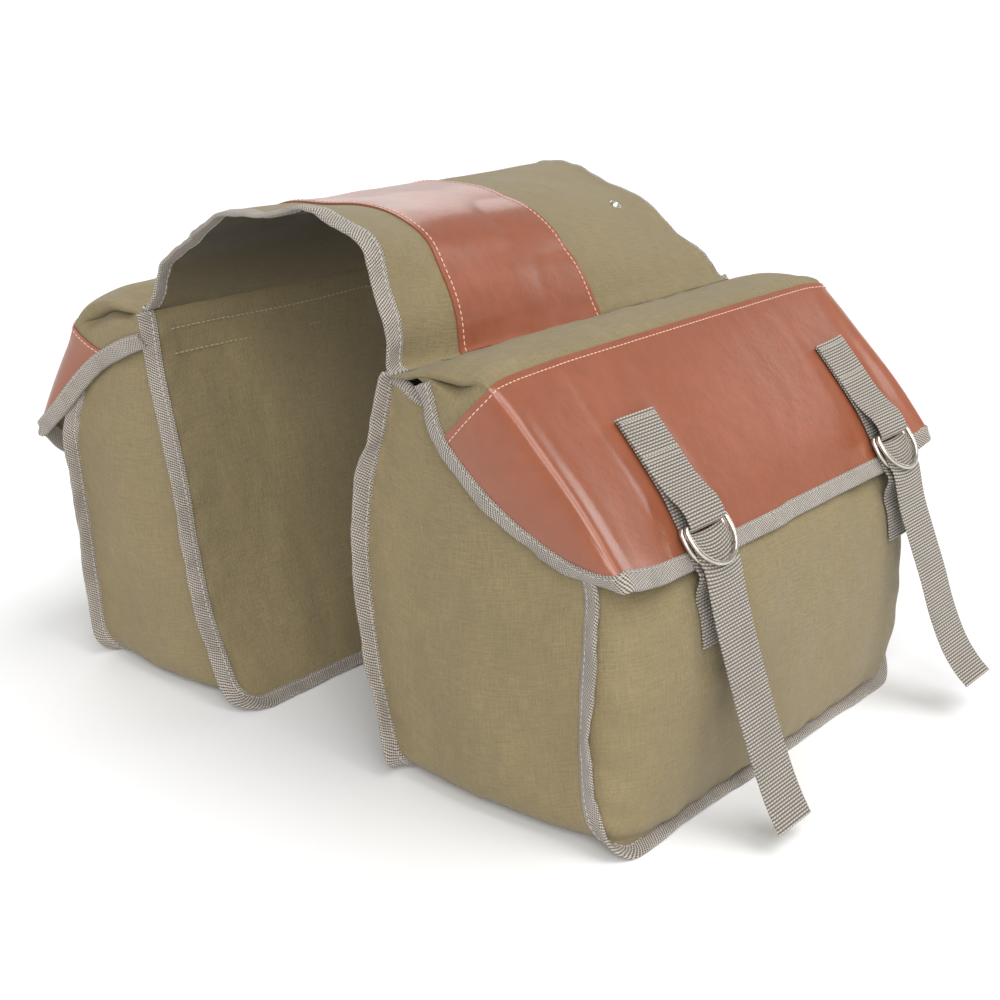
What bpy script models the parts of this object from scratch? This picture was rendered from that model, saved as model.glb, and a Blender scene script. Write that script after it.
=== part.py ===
"""Throw-over saddle bag: two canvas pouches joined by a saddle sheet that arches over a rack.

Metres, +Z up.  X runs across the bike (+X is the right pouch), Y runs fore and aft (-Y is the front).
Each pouch is a back panel, a gusset that goes down one end, along the bottom and up the other end, and
a front panel that bulges outwards, with bound seams.  Each flap hangs from the seam between the saddle
sheet and the back panel, and closes with two webbing straps that are threaded through pairs of D-rings.
"""
from math import cos, pi, radians, sin, sqrt

import bmesh
import bpy
from mathutils import Vector

MM = 0.001
GAP = 0.4 * MM                      # clearance between pieces that touch

# Driving dimensions
HALF_LENGTH = 170.6 * MM            # half of a pouch's length, seam to seam
FRONT_CORNER = 18.0 * MM            # radius of the pouch panels' lower corners at the front end
REAR_CORNER = 42.0 * MM             # the rear lower corners sag into a larger round
PANEL_THICKNESS = 2.4 * MM          # canvas with its lining
LEATHER_THICKNESS = 1.2 * MM
FLAP_THICKNESS = 2.0 * MM
BINDING_HEIGHT = 3.6 * MM           # how far a bound seam stands out
BINDING_WIDTH = 9.0 * MM
HEM_TAPE = 5.0 * MM                 # binding beyond the flap sheet's edge
WEBBING_WIDTH = 35.0 * MM
WEBBING_THICKNESS = 1.1 * MM
RING_WIRE = 1.5 * MM                # wire radius of a D-ring
RING_HALF_WIDTH = 19.7 * MM         # to the middle of the wire
RING_DEPTH = 26.0 * MM              # straight bar to the end of the bow
RING_CORNER = 3.2 * MM              # bend between the bar and the bow's legs
EYELET_OUTER = 4.5 * MM
EYELET_INNER = 2.2 * MM
EYELET_Y = 124.0 * MM
EYELET_ROWS = {"right": 14, "left": 4}  # rows of the saddle grid that they are on
PATCH_FRONT_Y = -117.0 * MM         # leather band across the saddle sheet
PATCH_REAR_Y = 20.0 * MM
STRAP_Y = (-89.0 * MM, 134.0 * MM)  # centres of the front and rear closures
CENTRE_X = 6.8 * MM                 # middle of the whole bag, from the middle of the gap at the floor
BOTTOM = BINDING_HEIGHT + GAP       # the gusset's underside, held up by its bound seams
FLAP_END = HALF_LENGTH + BINDING_HEIGHT + 3.4 * MM  # a flap's ends hang just outside the seams
LINING_THICKNESS = 1.6 * MM
EDGE_TAPE_UNDER = 2.0 * MM          # saddle binding below the lining, and above the canvas
EDGE_TAPE_OVER = 0.8 * MM
HEM_TAPE_UNDER = 2.0 * MM           # flap binding either side of the flap sheet's middle
HEM_TAPE_OVER = 2.8 * MM
MOUTH_TAPE = 2.4 * MM               # thickness of the mouth binding
MOUTH_TAPE_WIDTH = 3.8 * MM
MOUTH_CORNER = 12.0 * MM            # the mouth binding leaves the front panel this far from its ends
GUSSET_INSET = 2.0 * MM             # from the panels' inner faces to the gusset's side edges
SEAM_OVERHANG = 0.5 * MM            # how far seam bindings pass the panels' outer faces

# Saddle sheet's two edges, left seam to right seam, (x, z) in millimetres
SADDLE_FRONT = [(-143, 261), (-131, 282), (-108, 305), (-70, 324), (-32, 331), (0, 334),
                (26, 333), (48, 321), (61, 299), (67, 276), (69, 255.5)]
SADDLE_REAR = [(-143, 261), (-139, 285), (-126, 308), (-98, 322), (-65, 321), (-38, 315),
               (-8, 304), (16, 291), (37, 277), (54, 265), (69, 255.5)]

# Pouch profiles, (distance from the middle, height) in millimetres, bottom to top.
# "mid" is the outer face halfway along the pouch, "edge" is the same face at its bound end seams,
# "back" is the wall on the wheel side.  The left pouch leans outwards, the right one stands upright.
SIDES = {
    "right": {
        "sign": 1,
        "hinge": (71.5, 252.5),
        "back": [(68, 4), (60, 30), (51, 65), (45, 110), (43, 145), (48, 185), (59, 220), (66, 249.5)],
        "edge": [(222, 4), (211, 13), (204, 30), (201, 62), (201, 100), (203, 136), (201, 162),
                 (182, 192), (161, 221), (139, 246)],
        "mid": [(224, 4), (230, 13), (234, 32), (236, 64), (236, 100), (230, 136), (214, 164),
                (192, 192), (163, 223), (133, 247)],
        "flap_edge": [(76, 251.3), (90, 254), (106, 256), (124, 257), (142, 256), (168, 228),
                      (190, 200), (209, 172)],
        "flap_mid": [(76, 251.3), (88, 258), (104, 263.5), (120, 264), (137, 260), (172, 225),
                     (204, 189), (220.5, 162)],
        "flap_tip": [(81, 247), (94, 243), (104, 231), (121, 212), (141, 194), (163, 180),
                     (186, 172), (205, 165)],
    },
    "left": {
        "sign": -1,
        "hinge": (145.5, 258.5),
        "back": [(74, 4), (88, 30), (103, 65), (113, 110), (118, 145), (127, 185), (135, 220), (140, 255)],
        "edge": [(206, 4), (214, 13), (218, 30), (221, 62), (225, 100), (229, 136), (230, 162),
                 (220, 190), (207, 217), (190, 242)],
        "mid": [(208, 4), (228, 13), (241, 32), (250, 64), (255, 100), (257, 136), (250, 164),
                (231, 192), (211, 219), (190, 245)],
        "flap_edge": [(150, 257.3), (164, 260), (180, 259), (197, 251), (213, 238), (229, 216),
                      (245, 192), (259, 168)],
        "flap_mid": [(150, 257.3), (163, 263), (178, 265), (194, 263), (207, 256), (230, 226),
                     (250, 196), (263, 166)],
        "flap_tip": [(153, 250), (163, 241), (176, 231), (190, 221), (207, 211), (224, 197),
                     (241, 180), (254, 163)],
    },
}

# Threaded part of a closure, (along the flap, out from the leather) in millimetres, counted from the
# hem and followed by its free tail as (out, up) from the hem
STRAP_THREADED = [(12, 1.8), (8, 1.4), (3, 1.2), (-2, 1.2), (-6, 1.8), (-7.6, 3.6), (-6, 5.3),
                  (-2, 5.75), (3, 5.8), (8, 6.2), (12.5, 6.2)]
TAIL_FRONT = [(16, -26), (23, -48), (31, -71), (39, -93), (47.5, -114), (56, -132), (64.5, -146)]
TAIL_REAR = [(16, -26), (24, -46), (34, -70), (43, -94), (53, -114), (63, -127), (72, -135)]
TAIL_HANGING = [(13, -23), (14, -45), (14, -68), (13, -90), (13, -111), (14, -128), (16, -142)]
ANCHOR_HEIGHTS = (104, 116, 128, 139)
# How much of the inner bow's curve each threaded place follows
THREADED_PULL = (0.4, 0.8, 1.0, 1.0, 1.0, 1.0, 1.0, 1.0, 1.0, 0.8, 0.5)
BAR_ALONG = -18.0                   # ring bars, along the flap from the hem
INNER_BAR_OUT = 3.3
OUTER_BAR_OUT = 6.65
INNER_BOW_OUT = 3.8
OUTER_BOW_OUT = 10.3
FULL_POWER = 8                      # how boxy a bulging panel is along its length
FOLD_ROW = 8                        # row of the flap grid where the leather starts
FLAP_ROWS = 15


def clear_scene():
    for thing in list(bpy.data.objects):
        bpy.data.objects.remove(thing, do_unlink=True)


def material(name, colour, roughness, metallic=0.0):
    made = bpy.data.materials.new(name)
    made.use_nodes = True
    shader = made.node_tree.nodes["Principled BSDF"]
    shader.inputs["Base Color"].default_value = (*colour, 1.0)
    shader.inputs["Roughness"].default_value = roughness
    shader.inputs["Metallic"].default_value = metallic
    return made


def canvas(name):
    return material(name, (0.23, 0.19, 0.11), 0.9)


def leather(name):
    return material(name, (0.40, 0.13, 0.06), 0.42)


def tape(name):
    return material(name, (0.25, 0.22, 0.19), 0.85)


def nickel(name):
    return material(name, (0.78, 0.76, 0.72), 0.22, 1.0)


def smooth_curve(points, count):
    """Points along a Catmull-Rom curve through the given ones, count of them, evenly by parameter."""
    knots = [Vector(p) for p in points]
    knots = [2 * knots[0] - knots[1]] + knots + [2 * knots[-1] - knots[-2]]
    spans = len(points) - 1
    made = []
    for step in range(count):
        place = spans * step / (count - 1)
        first = min(int(place), spans - 1)
        t = place - first
        a, b, c, d = knots[first:first + 4]
        made.append(0.5 * (2 * b + (c - a) * t + (2 * a - 5 * b + 4 * c - d) * t * t
                           + (3 * b - a - 3 * c + d) * t * t * t))
    return made


def at_height(profile, z):
    """Distance from the middle at height z on a profile whose heights rise."""
    for (u0, z0), (u1, z1) in zip(profile, profile[1:]):
        if z <= z1:
            return u0 + (u1 - u0) * (z - z0) / (z1 - z0)
    return profile[-1][0]


def corner(end):
    return FRONT_CORNER if end < 0 else REAR_CORNER


def corner_places(end):
    """(y, z, outward direction) round a pouch's lower corner, bottom first.  end is -1 or 1."""
    radius = corner(end)
    places = []
    for angle in (0, 22.5, 45, 67.5, 90):
        turn = radians(angle)
        y = end * (HALF_LENGTH - radius + radius * sin(turn))
        z = BOTTOM + radius * (1 - cos(turn))
        places.append((y, z, Vector((0, end * sin(turn), -cos(turn)))))
    return places


def end_y(z, end):
    """Place of a pouch panel's end at height z."""
    places = corner_places(end)
    for (y0, z0, _), (y1, z1, _) in zip(places, places[1:]):
        if z <= z1:
            return y0 + (y1 - y0) * (z - z0) / (z1 - z0)
    return end * HALF_LENGTH


def along_panel(share, z):
    """Place fore and aft at height z for a share from -1, the front end, to 1, the rear end."""
    front = end_y(z, -1)
    rear = end_y(z, 1)
    return front + (rear - front) * 0.5 * (share + 1)


def fullness(share):
    """How much of its bulge a panel has at a share of its length: none at its bound ends."""
    return sqrt(1 - abs(share) ** FULL_POWER) if abs(share) < 1 else 0.0


def add_object(name, mesh_builder, made_material, parent):
    """Turns a bmesh in world coordinates into an object whose origin is its parent's."""
    bmesh.ops.recalc_face_normals(mesh_builder, faces=mesh_builder.faces)
    if mesh_builder.calc_volume(signed=True) < 0:
        bmesh.ops.reverse_faces(mesh_builder, faces=mesh_builder.faces)
    offset = parent.matrix_world.translation if parent else Vector()
    for vertex in mesh_builder.verts:
        vertex.co -= offset
    mesh = bpy.data.meshes.new(name)
    mesh_builder.to_mesh(mesh)
    mesh_builder.free()
    mesh.shade_smooth()
    mesh.set_sharp_from_angle(angle=radians(35))
    mesh.materials.append(made_material)
    made = bpy.data.objects.new(name, mesh)
    made.parent = parent
    bpy.context.collection.objects.link(made)
    return made


def axis_empty(name, place, parent=None):
    empty = bpy.data.objects.new(name, None)
    empty.empty_display_size = 0.03
    empty.parent = parent
    empty.location = Vector(place) - (parent.matrix_world.translation if parent else Vector())
    bpy.context.collection.objects.link(empty)
    bpy.context.view_layer.update()
    return empty


def grid_normals(grid):
    """Unit normals of a grid of points, from the directions along its rows and columns."""
    rows = len(grid)
    columns = len(grid[0])
    normals = []
    for i in range(rows):
        line = []
        for j in range(columns):
            along = grid[min(i + 1, rows - 1)][j] - grid[max(i - 1, 0)][j]
            across = grid[i][min(j + 1, columns - 1)] - grid[i][max(j - 1, 0)]
            line.append(along.cross(across).normalized())
        normals.append(line)
    return normals


def slab(name, grid, normals, low, high, made_material, parent=None):
    """A sheet with thickness: from low to high along the normals of a grid of points."""
    builder = bmesh.new()
    rows = len(grid)
    columns = len(grid[0])
    layers = []
    for offset in (low, high):
        layers.append([[builder.verts.new(point + offset * normal) for point, normal in zip(line, directions)]
                       for line, directions in zip(grid, normals)])
    for layer in layers:
        for i in range(rows - 1):
            for j in range(columns - 1):
                builder.faces.new((layer[i][j], layer[i + 1][j], layer[i + 1][j + 1], layer[i][j + 1]))
    rim = [(i, 0) for i in range(rows)] + [(rows - 1, j) for j in range(1, columns)]
    rim += [(i, columns - 1) for i in range(rows - 2, -1, -1)] + [(0, j) for j in range(columns - 2, 0, -1)]
    for (i0, j0), (i1, j1) in zip(rim, rim[1:] + rim[:1]):
        builder.faces.new((layers[0][i0][j0], layers[0][i1][j1], layers[1][i1][j1], layers[1][i0][j0]))
    return add_object(name, builder, made_material, parent)


def tube(name, points, radius, sides, made_material, parent=None):
    """A closed loop of round wire through the given points."""
    builder = bmesh.new()
    rings = []
    count = len(points)
    middle = sum(points, Vector()) / count
    plane = (points[count // 3] - middle).cross(points[0] - middle).normalized()
    for k, point in enumerate(points):
        ahead = (points[(k + 1) % count] - points[k - 1]).normalized()
        outward = ahead.cross(plane).normalized()
        rings.append([builder.verts.new(point + radius * (cos(2 * pi * s / sides) * outward
                                                          + sin(2 * pi * s / sides) * plane))
                      for s in range(sides)])
    for k in range(count):
        following = rings[(k + 1) % count]
        for s in range(sides):
            t = (s + 1) % sides
            builder.faces.new((rings[k][s], following[s], following[t], rings[k][t]))
    return add_object(name, builder, made_material, parent)


def ring_outline():
    """A D-ring's wire, seen flat: (across, along) from the middle of its straight bar."""
    reach = RING_HALF_WIDTH - RING_CORNER
    legs = RING_DEPTH - RING_HALF_WIDTH
    bends = {}
    for sign in (1, -1):
        bends[sign] = []
        for angle in (90, 60, 30, 0):
            across = sign * (reach + RING_CORNER * cos(radians(angle)))
            bends[sign].append((across, RING_CORNER * (1 - sin(radians(angle)))))
    bow = []
    for step in range(17):
        angle = pi * step / 16
        bow.append((RING_HALF_WIDTH * cos(angle), legs + RING_HALF_WIDTH * sin(angle)))
    return bends[1] + bow + bends[-1][::-1]


def saddle_grid(first_y, last_y, rows, columns):
    """Points of the saddle sheet's upper face, rows across the bike and columns fore and aft."""
    front = smooth_curve(SADDLE_FRONT, rows)
    rear = smooth_curve(SADDLE_REAR, rows)
    grid = []
    for a, b in zip(front, rear):
        line = []
        for j in range(columns):
            y = first_y + (last_y - first_y) * j / (columns - 1)
            share = (y + HALF_LENGTH) / (2 * HALF_LENGTH)
            place = (a + (b - a) * share) * MM
            line.append(Vector((place.x, y, place.y)))
        grid.append(line)
    return grid


def outward_normals(grid, reference):
    """Grid normals, turned so that the middle one points along the reference direction."""
    normals = grid_normals(grid)
    middle = normals[len(grid) // 2][len(grid[0]) // 2]
    if middle.dot(reference) < 0:
        normals = [[-n for n in line] for line in normals]
    return normals


def build_saddle(root):
    grid = saddle_grid(-HALF_LENGTH, HALF_LENGTH, 23, 9)
    normals = outward_normals(grid, Vector((0, 0, 1)))
    slab("saddle_panel", grid, normals, -PANEL_THICKNESS, 0, canvas("saddle_canvas"), root)
    lining_top = -PANEL_THICKNESS - GAP
    slab("saddle_lining", grid, normals, lining_top - LINING_THICKNESS, lining_top,
         canvas("saddle_lining_canvas"), root)
    patch = saddle_grid(PATCH_FRONT_Y, PATCH_REAR_Y, 23, 5)
    patch_normals = outward_normals(patch, Vector((0, 0, 1)))
    slab("saddle_leather_patch", patch, patch_normals, GAP, GAP + LEATHER_THICKNESS,
         leather("patch_leather"), root)
    for name, column, y_sign in (("front", 0, -1), ("rear", -1, 1)):
        edge = [line[column] for line in grid]
        edge_normals = [line[column] for line in normals]
        reaches = (GAP, GAP + BINDING_HEIGHT)
        strip = [[point + Vector((0, y_sign * reach, 0)) for reach in reaches] for point in edge]
        slab("saddle_binding_" + name, strip, [[n, n] for n in edge_normals], lining_top - EDGE_TAPE_UNDER,
             EDGE_TAPE_OVER, tape("saddle_tape_" + name), root)
    return grid, normals


def build_eyelets(grid, normals, root):
    """Two nickel eyelets near the rear edge, one on each slope of the saddle sheet."""
    share = (EYELET_Y + HALF_LENGTH) / (2 * HALF_LENGTH)
    column = share * (len(grid[0]) - 1)
    first = int(column)
    for name, row in EYELET_ROWS.items():
        place = grid[row][first].lerp(grid[row][first + 1], column - first)
        normal = normals[row][first].lerp(normals[row][first + 1], column - first).normalized()
        across = normal.cross(Vector((0, 1, 0))).normalized()
        along = across.cross(normal)
        profile = [(EYELET_INNER, 0.5), (EYELET_OUTER, 0.5), (EYELET_OUTER - 0.6 * MM, 1.5),
                   (EYELET_INNER + 0.9 * MM, 1.8), (EYELET_INNER, 1.4)]
        builder = bmesh.new()
        turns = 16
        loops = []
        for k in range(turns):
            angle = 2 * pi * k / turns
            radial = cos(angle) * across + sin(angle) * along
            loops.append([builder.verts.new(place + r * radial + (h * MM) * normal) for r, h in profile])
        for k in range(turns):
            following = loops[(k + 1) % turns]
            for s in range(len(profile)):
                t = (s + 1) % len(profile)
                builder.faces.new((loops[k][s], loops[k][t], following[t], following[s]))
        add_object("eyelet_" + name, builder, nickel("eyelet_nickel_" + name), root)


def panel_columns(count):
    """Places across a panel from -1 to 1, closer together towards its ends."""
    return [sin(0.5 * pi * (2 * k / (count - 1) - 1)) for k in range(count)]


def front_panel_grid(side):
    """Outer face of a pouch's front panel: rows go up, columns go from front to rear."""
    edge = smooth_curve(side["edge"], 19)
    mid = smooth_curve(side["mid"], 19)
    grid = []
    for e, m in zip(edge, mid):
        line = []
        for c in panel_columns(13):
            place = (e + (m - e) * fullness(c)) * MM
            line.append(Vector((side["sign"] * place.x, along_panel(c, e.y * MM), place.y)))
        grid.append(line)
    return grid


def end_path(top):
    """The seam round a pouch: down its front end, along the bottom and up its rear end.

    Gives (y, z, direction straight out of the gusset) for each place.
    """
    path = []
    climb = 7
    for end in (-1, 1):
        half = corner_places(end)
        start = BOTTOM + corner(end)
        for k in range(1, climb + 1):
            half.append((end * HALF_LENGTH, start + (top - start) * k / climb, Vector((0, end, 0))))
        if end < 0:
            path += reversed(half)
            flat_start = -HALF_LENGTH + FRONT_CORNER
            flat_length = 2 * HALF_LENGTH - FRONT_CORNER - REAR_CORNER
            steps = 6
            for k in range(1, steps):
                path.append((flat_start + flat_length * k / steps, BOTTOM, Vector((0, 0, -1))))
        else:
            path += half
    return path


def side_points(profile, path, sign, shift):
    """Points on a seam profile for each place on the end path, moved sideways by shift."""
    points = []
    for y, z, _ in path:
        u = at_height(profile, z / MM) * MM
        points.append(Vector((sign * (u + shift), y, z)))
    return points


def build_pouch(name, side, pouch):
    sign = side["sign"]
    path = end_path(side["edge"][-1][1] * MM)
    normals = [normal for _, _, normal in path]
    fine_back = [tuple(p) for p in smooth_curve(side["back"], 40)]
    fine_edge = [tuple(p) for p in smooth_curve(side["edge"], 40)]

    back_top = side["back"][-1][1] * MM
    heights = sorted({round(z, 6) for _, z, _ in path} | {back_top})
    heights = [z for k, z in enumerate(heights) if k == 0 or z - heights[k - 1] > 1.5 * MM]
    columns = panel_columns(7)
    back_grid = []
    for z in heights:
        u = at_height(fine_back, z / MM) * MM
        back_grid.append([Vector((sign * u, along_panel(c, z), z)) for c in columns])
    inward = [[Vector((sign, 0, 0))] * len(columns) for _ in back_grid]
    slab("back_panel_" + name, back_grid, inward, 0, PANEL_THICKNESS, canvas("back_canvas_" + name), pouch)

    front_grid = front_panel_grid(side)
    front_normals = outward_normals(front_grid, Vector((sign, 0, 0.3)))
    for line in front_normals:
        line[0] = line[-1] = Vector((sign, 0, 0))
    front_normals[0] = [Vector((sign, 0, 0))] * len(front_grid[0])
    slab("front_panel_" + name, front_grid, front_normals, -PANEL_THICKNESS, 0,
         canvas("front_canvas_" + name), pouch)

    clear = PANEL_THICKNESS + GUSSET_INSET
    back_side = side_points(fine_back, path, sign, clear)
    front_side = side_points(fine_edge, path, sign, -clear)
    gusset_grid = []
    for a, b in zip(back_side, front_side):
        gusset_grid.append([a.lerp(b, k / 3) for k in range(4)])
    slab("gusset_" + name, gusset_grid, [[n] * 4 for n in normals], -PANEL_THICKNESS, 0,
         canvas("gusset_canvas_" + name), pouch)

    for seam, profile, start, finish in (("back", fine_back, -SEAM_OVERHANG, BINDING_WIDTH),
                                         ("front", fine_edge, -BINDING_WIDTH, SEAM_OVERHANG)):
        inner = side_points(profile, path, sign, start)
        outer = side_points(profile, path, sign, finish)
        strip = [[a, b] for a, b in zip(inner, outer)]
        slab(seam + "_seam_binding_" + name, strip, [[n, n] for n in normals], GAP, GAP + BINDING_HEIGHT,
             tape(seam + "_seam_tape_" + name), pouch)
    build_mouth_binding(name, back_side, front_side, front_grid, sign, pouch)


def build_mouth_binding(name, back_side, front_side, front_grid, sign, pouch):
    """Tape along the open top of the gusset's ends and of the front panel, in one U-shaped run."""
    rise = 2 * GAP
    start = back_side[0].lerp(front_side[0], 0.04)
    finish = back_side[-1].lerp(front_side[-1], 0.04)
    front_bend = front_side[0].lerp(back_side[0], 0.02)
    rear_bend = front_side[-1].lerp(back_side[-1], 0.02)
    along_front = [p for p in front_grid[-1] if abs(p.y) < HALF_LENGTH - MOUTH_CORNER]
    centre = [start, start.lerp(front_bend, 0.5), front_bend]
    centre += along_front
    centre += [rear_bend, finish.lerp(rear_bend, 0.5), finish]
    to_middle = Vector((-sign, 0, 0))
    to_rear = Vector((0, 1, 0))
    inwards = [to_rear, to_rear, 0.7 * (to_middle + to_rear)]
    inwards += [to_middle] * len(along_front)
    inwards += [0.7 * (to_middle - to_rear), -to_rear, -to_rear]
    strip = []
    for point, inward in zip(centre, inwards):
        strip.append([point - 0.5 * GAP * inward, point + (MOUTH_TAPE_WIDTH - 0.5 * GAP) * inward])
    slab("mouth_binding_" + name, strip, [[Vector((0, 0, 1))] * 2 for _ in strip], rise, rise + MOUTH_TAPE,
         tape("mouth_tape_" + name), pouch)


def flap_grid(side):
    """Middle surface of a closed flap: rows from the seam to the hem, columns from front to rear.

    The outermost two columns at each end hang down over the gusset.
    """
    edge = smooth_curve(side["flap_edge"], FLAP_ROWS)
    mid = smooth_curve(side["flap_mid"], FLAP_ROWS)
    tip = smooth_curve(side["flap_tip"], FLAP_ROWS)
    sign = side["sign"]
    grid = []
    for e, m, t in zip(edge, mid, tip):
        hang = []
        for share in (1.0, 0.5):
            place = (e + (t - e) * share) * MM
            hang.append((place.x, place.y))
        line = [Vector((sign * u, -FLAP_END, z)) for u, z in hang]
        for c in panel_columns(11):
            place = (e + (m - e) * fullness(c)) * MM
            line.append(Vector((sign * place.x, c * FLAP_END, place.y)))
        line += [Vector((sign * u, FLAP_END, z)) for u, z in reversed(hang)]
        grid.append(line)
    return grid


def leather_line(side, y):
    """The closed flap's leather surface at y, as (distance from the middle, height), fold to hem."""
    share = fullness(y / FLAP_END)
    edge = smooth_curve(side["flap_edge"], 57)
    mid = smooth_curve(side["flap_mid"], 57)
    line = [(e + (m - e) * share) * MM for e, m in zip(edge, mid)][24:]
    lift = 0.5 * FLAP_THICKNESS + GAP + LEATHER_THICKNESS
    lifted = []
    for k, point in enumerate(line):
        ahead = (line[min(k + 1, len(line) - 1)] - line[max(k - 1, 0)]).normalized()
        lifted.append(point + lift * Vector((-ahead.y, ahead.x)))
    end = (line[-1] - line[-3]).normalized()
    return lifted + [lifted[-1] + HEM_TAPE * end, lifted[-1] + 4 * HEM_TAPE * end]


def on_leather(line, sign, y, along, lift):
    """Place on or above the leather: along runs down the flap and is zero at the hem's lower edge."""
    lengths = [0.0]
    for a, b in zip(line, line[1:]):
        lengths.append(lengths[-1] + (b - a).length)
    target = lengths[-2] + along * MM
    k = 0
    while k < len(line) - 2 and lengths[k + 1] < target:
        k += 1
    ahead = (line[k + 1] - line[k]).normalized()
    point = line[k] + (target - lengths[k]) * ahead + lift * MM * Vector((-ahead.y, ahead.x))
    return Vector((sign * point.x, y, point.y))


def build_flap(name, side, flap):
    grid = flap_grid(side)
    normals = outward_normals(grid, Vector((side["sign"], 0, 1)))
    half = 0.5 * FLAP_THICKNESS
    slab("flap_panel_" + name, grid, normals, -half, half, canvas("flap_canvas_" + name), flap)
    slab("flap_leather_" + name, grid[FOLD_ROW:], normals[FOLD_ROW:], half + GAP,
         half + GAP + LEATHER_THICKNESS, leather("flap_leather_" + name), flap)
    rim = [(i, 0) for i in range(len(grid))] + [(len(grid) - 1, j) for j in range(1, len(grid[0]))]
    rim += [(i, len(grid[0]) - 1) for i in range(len(grid) - 2, -1, -1)]
    points = [grid[i][j] for i, j in rim]
    directions = [normals[i][j] for i, j in rim]
    strip = []
    for k, (point, normal) in enumerate(zip(points, directions)):
        ahead = points[min(k + 1, len(points) - 1)] - points[max(k - 1, 0)]
        away = ahead.cross(normal).normalized()
        i, j = rim[k]
        inner = grid[min(max(i, 1), len(grid) - 2)][min(max(j, 1), len(grid[0]) - 2)]
        if away.dot(point - inner) < 0:
            away = -away
        strip.append([point + 2 * GAP * away, point + HEM_TAPE * away])
    slab("flap_binding_" + name, strip, [[n, n] for n in directions], -HEM_TAPE_UNDER, HEM_TAPE_OVER,
         tape("flap_tape_" + name), flap)


def webbing(name, lines, made_material, parent):
    """A flat strap from its lines of points, which run side by side along its length."""
    grid = [[line[k] for line in lines] for k in range(len(lines[0]))]
    middle = lines[len(lines) // 2]
    normals = []
    for k in range(len(middle)):
        ahead = middle[min(k + 1, len(middle) - 1)] - middle[max(k - 1, 0)]
        normals.append([Vector((-ahead.z, 0, ahead.x)).normalized()] * len(lines))
    half = 0.5 * WEBBING_THICKNESS
    slab(name, grid, normals, -half, half, made_material, parent)


def strap_places(y):
    """Where the lines of a strap's points run, across its width."""
    return [y + c * WEBBING_WIDTH for c in (-0.5, -0.25, 0.0, 0.25, 0.5)]


def outermost_line(side, y):
    """Leather line under a strap: the fullest one across the strap's width."""
    return max((leather_line(side, place) for place in strap_places(y)), key=lambda line: line[-2].x)


def build_flap_strap(name, side, y, flap):
    """Webbing sewn on the leather, folded back round the bars of the two rings."""
    t = WEBBING_THICKNESS / MM
    low = 0.4
    under = low + 0.5 * t
    over = OUTER_BAR_OUT + RING_WIRE / MM + 0.35 + 0.5 * t
    loop = [(-88, under + t + 0.1), (-66, under + t + 0.1), (-46, under + t + 0.5), (-36, 0.62 * over),
            (-29, 0.92 * over), (-23, over), (BAR_ALONG, over)]
    steps = 6
    middle = 0.5 * (under + over)
    reach = 0.5 * (over - under)
    for k in range(1, steps):
        angle = pi * k / steps
        loop.append((BAR_ALONG + 0.75 * reach * sin(angle), middle + reach * cos(angle)))
    loop += [(BAR_ALONG, under), (-36, under), (-46, under), (-66, under), (-88, under)]
    straight = outermost_line(side, y)
    lines = []
    for place in strap_places(y):
        own = leather_line(side, place)
        line = []
        for along, lift in loop:
            share = min(1.0, max(0.0, (along + 60) / 30))
            flat = on_leather(straight, side["sign"], place, along, lift)
            line.append(on_leather(own, side["sign"], place, along, lift).lerp(flat, share))
        lines.append(line)
    webbing(name, lines, tape(name + "_tape"), flap)


def build_ring(name, bar, bow, ring_empty):
    """A D-ring from the middle of its straight bar towards the end of its bow."""
    along = (bow - bar).normalized()
    points = [bar + Vector((0, across, 0)) + along * depth for across, depth in ring_outline()]
    tube(name, points, RING_WIRE, 8, nickel(name + "_nickel"), ring_empty)


def build_closure_strap(name, side, y, tail, pouch):
    """Webbing sewn to the pouch, threaded round the inner ring's bow, ending in a free tail."""
    sign = side["sign"]
    straight = outermost_line(side, y)
    stand = 0.5 * WEBBING_THICKNESS + GAP
    mid = [tuple(p) for p in smooth_curve(side["mid"], 40)]
    edge = [tuple(p) for p in smooth_curve(side["edge"], 40)]
    share = max(fullness(place / HALF_LENGTH) for place in strap_places(y))
    hem = on_leather(straight, sign, y, 0, 0)
    lines = []
    for place in strap_places(y):
        line = []
        for height in ANCHOR_HEIGHTS:
            u = at_height(edge, height) + (at_height(mid, height) - at_height(edge, height)) * share
            line.append(Vector((sign * (u * MM + stand), place, height * MM)))
        across = 0.7 * (place - y)
        sag = (RING_HALF_WIDTH - sqrt(RING_HALF_WIDTH ** 2 - across ** 2)) / MM
        for (along, lift), pull in zip(STRAP_THREADED, THREADED_PULL):
            line.append(on_leather(straight, sign, place, along - pull * sag, lift))
        for u, z in tail:
            line.append(Vector((hem.x + sign * u * MM, place, hem.z + z * MM)))
        lines.append(line)
    webbing(name, lines, tape(name + "_tape"), pouch)


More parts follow.
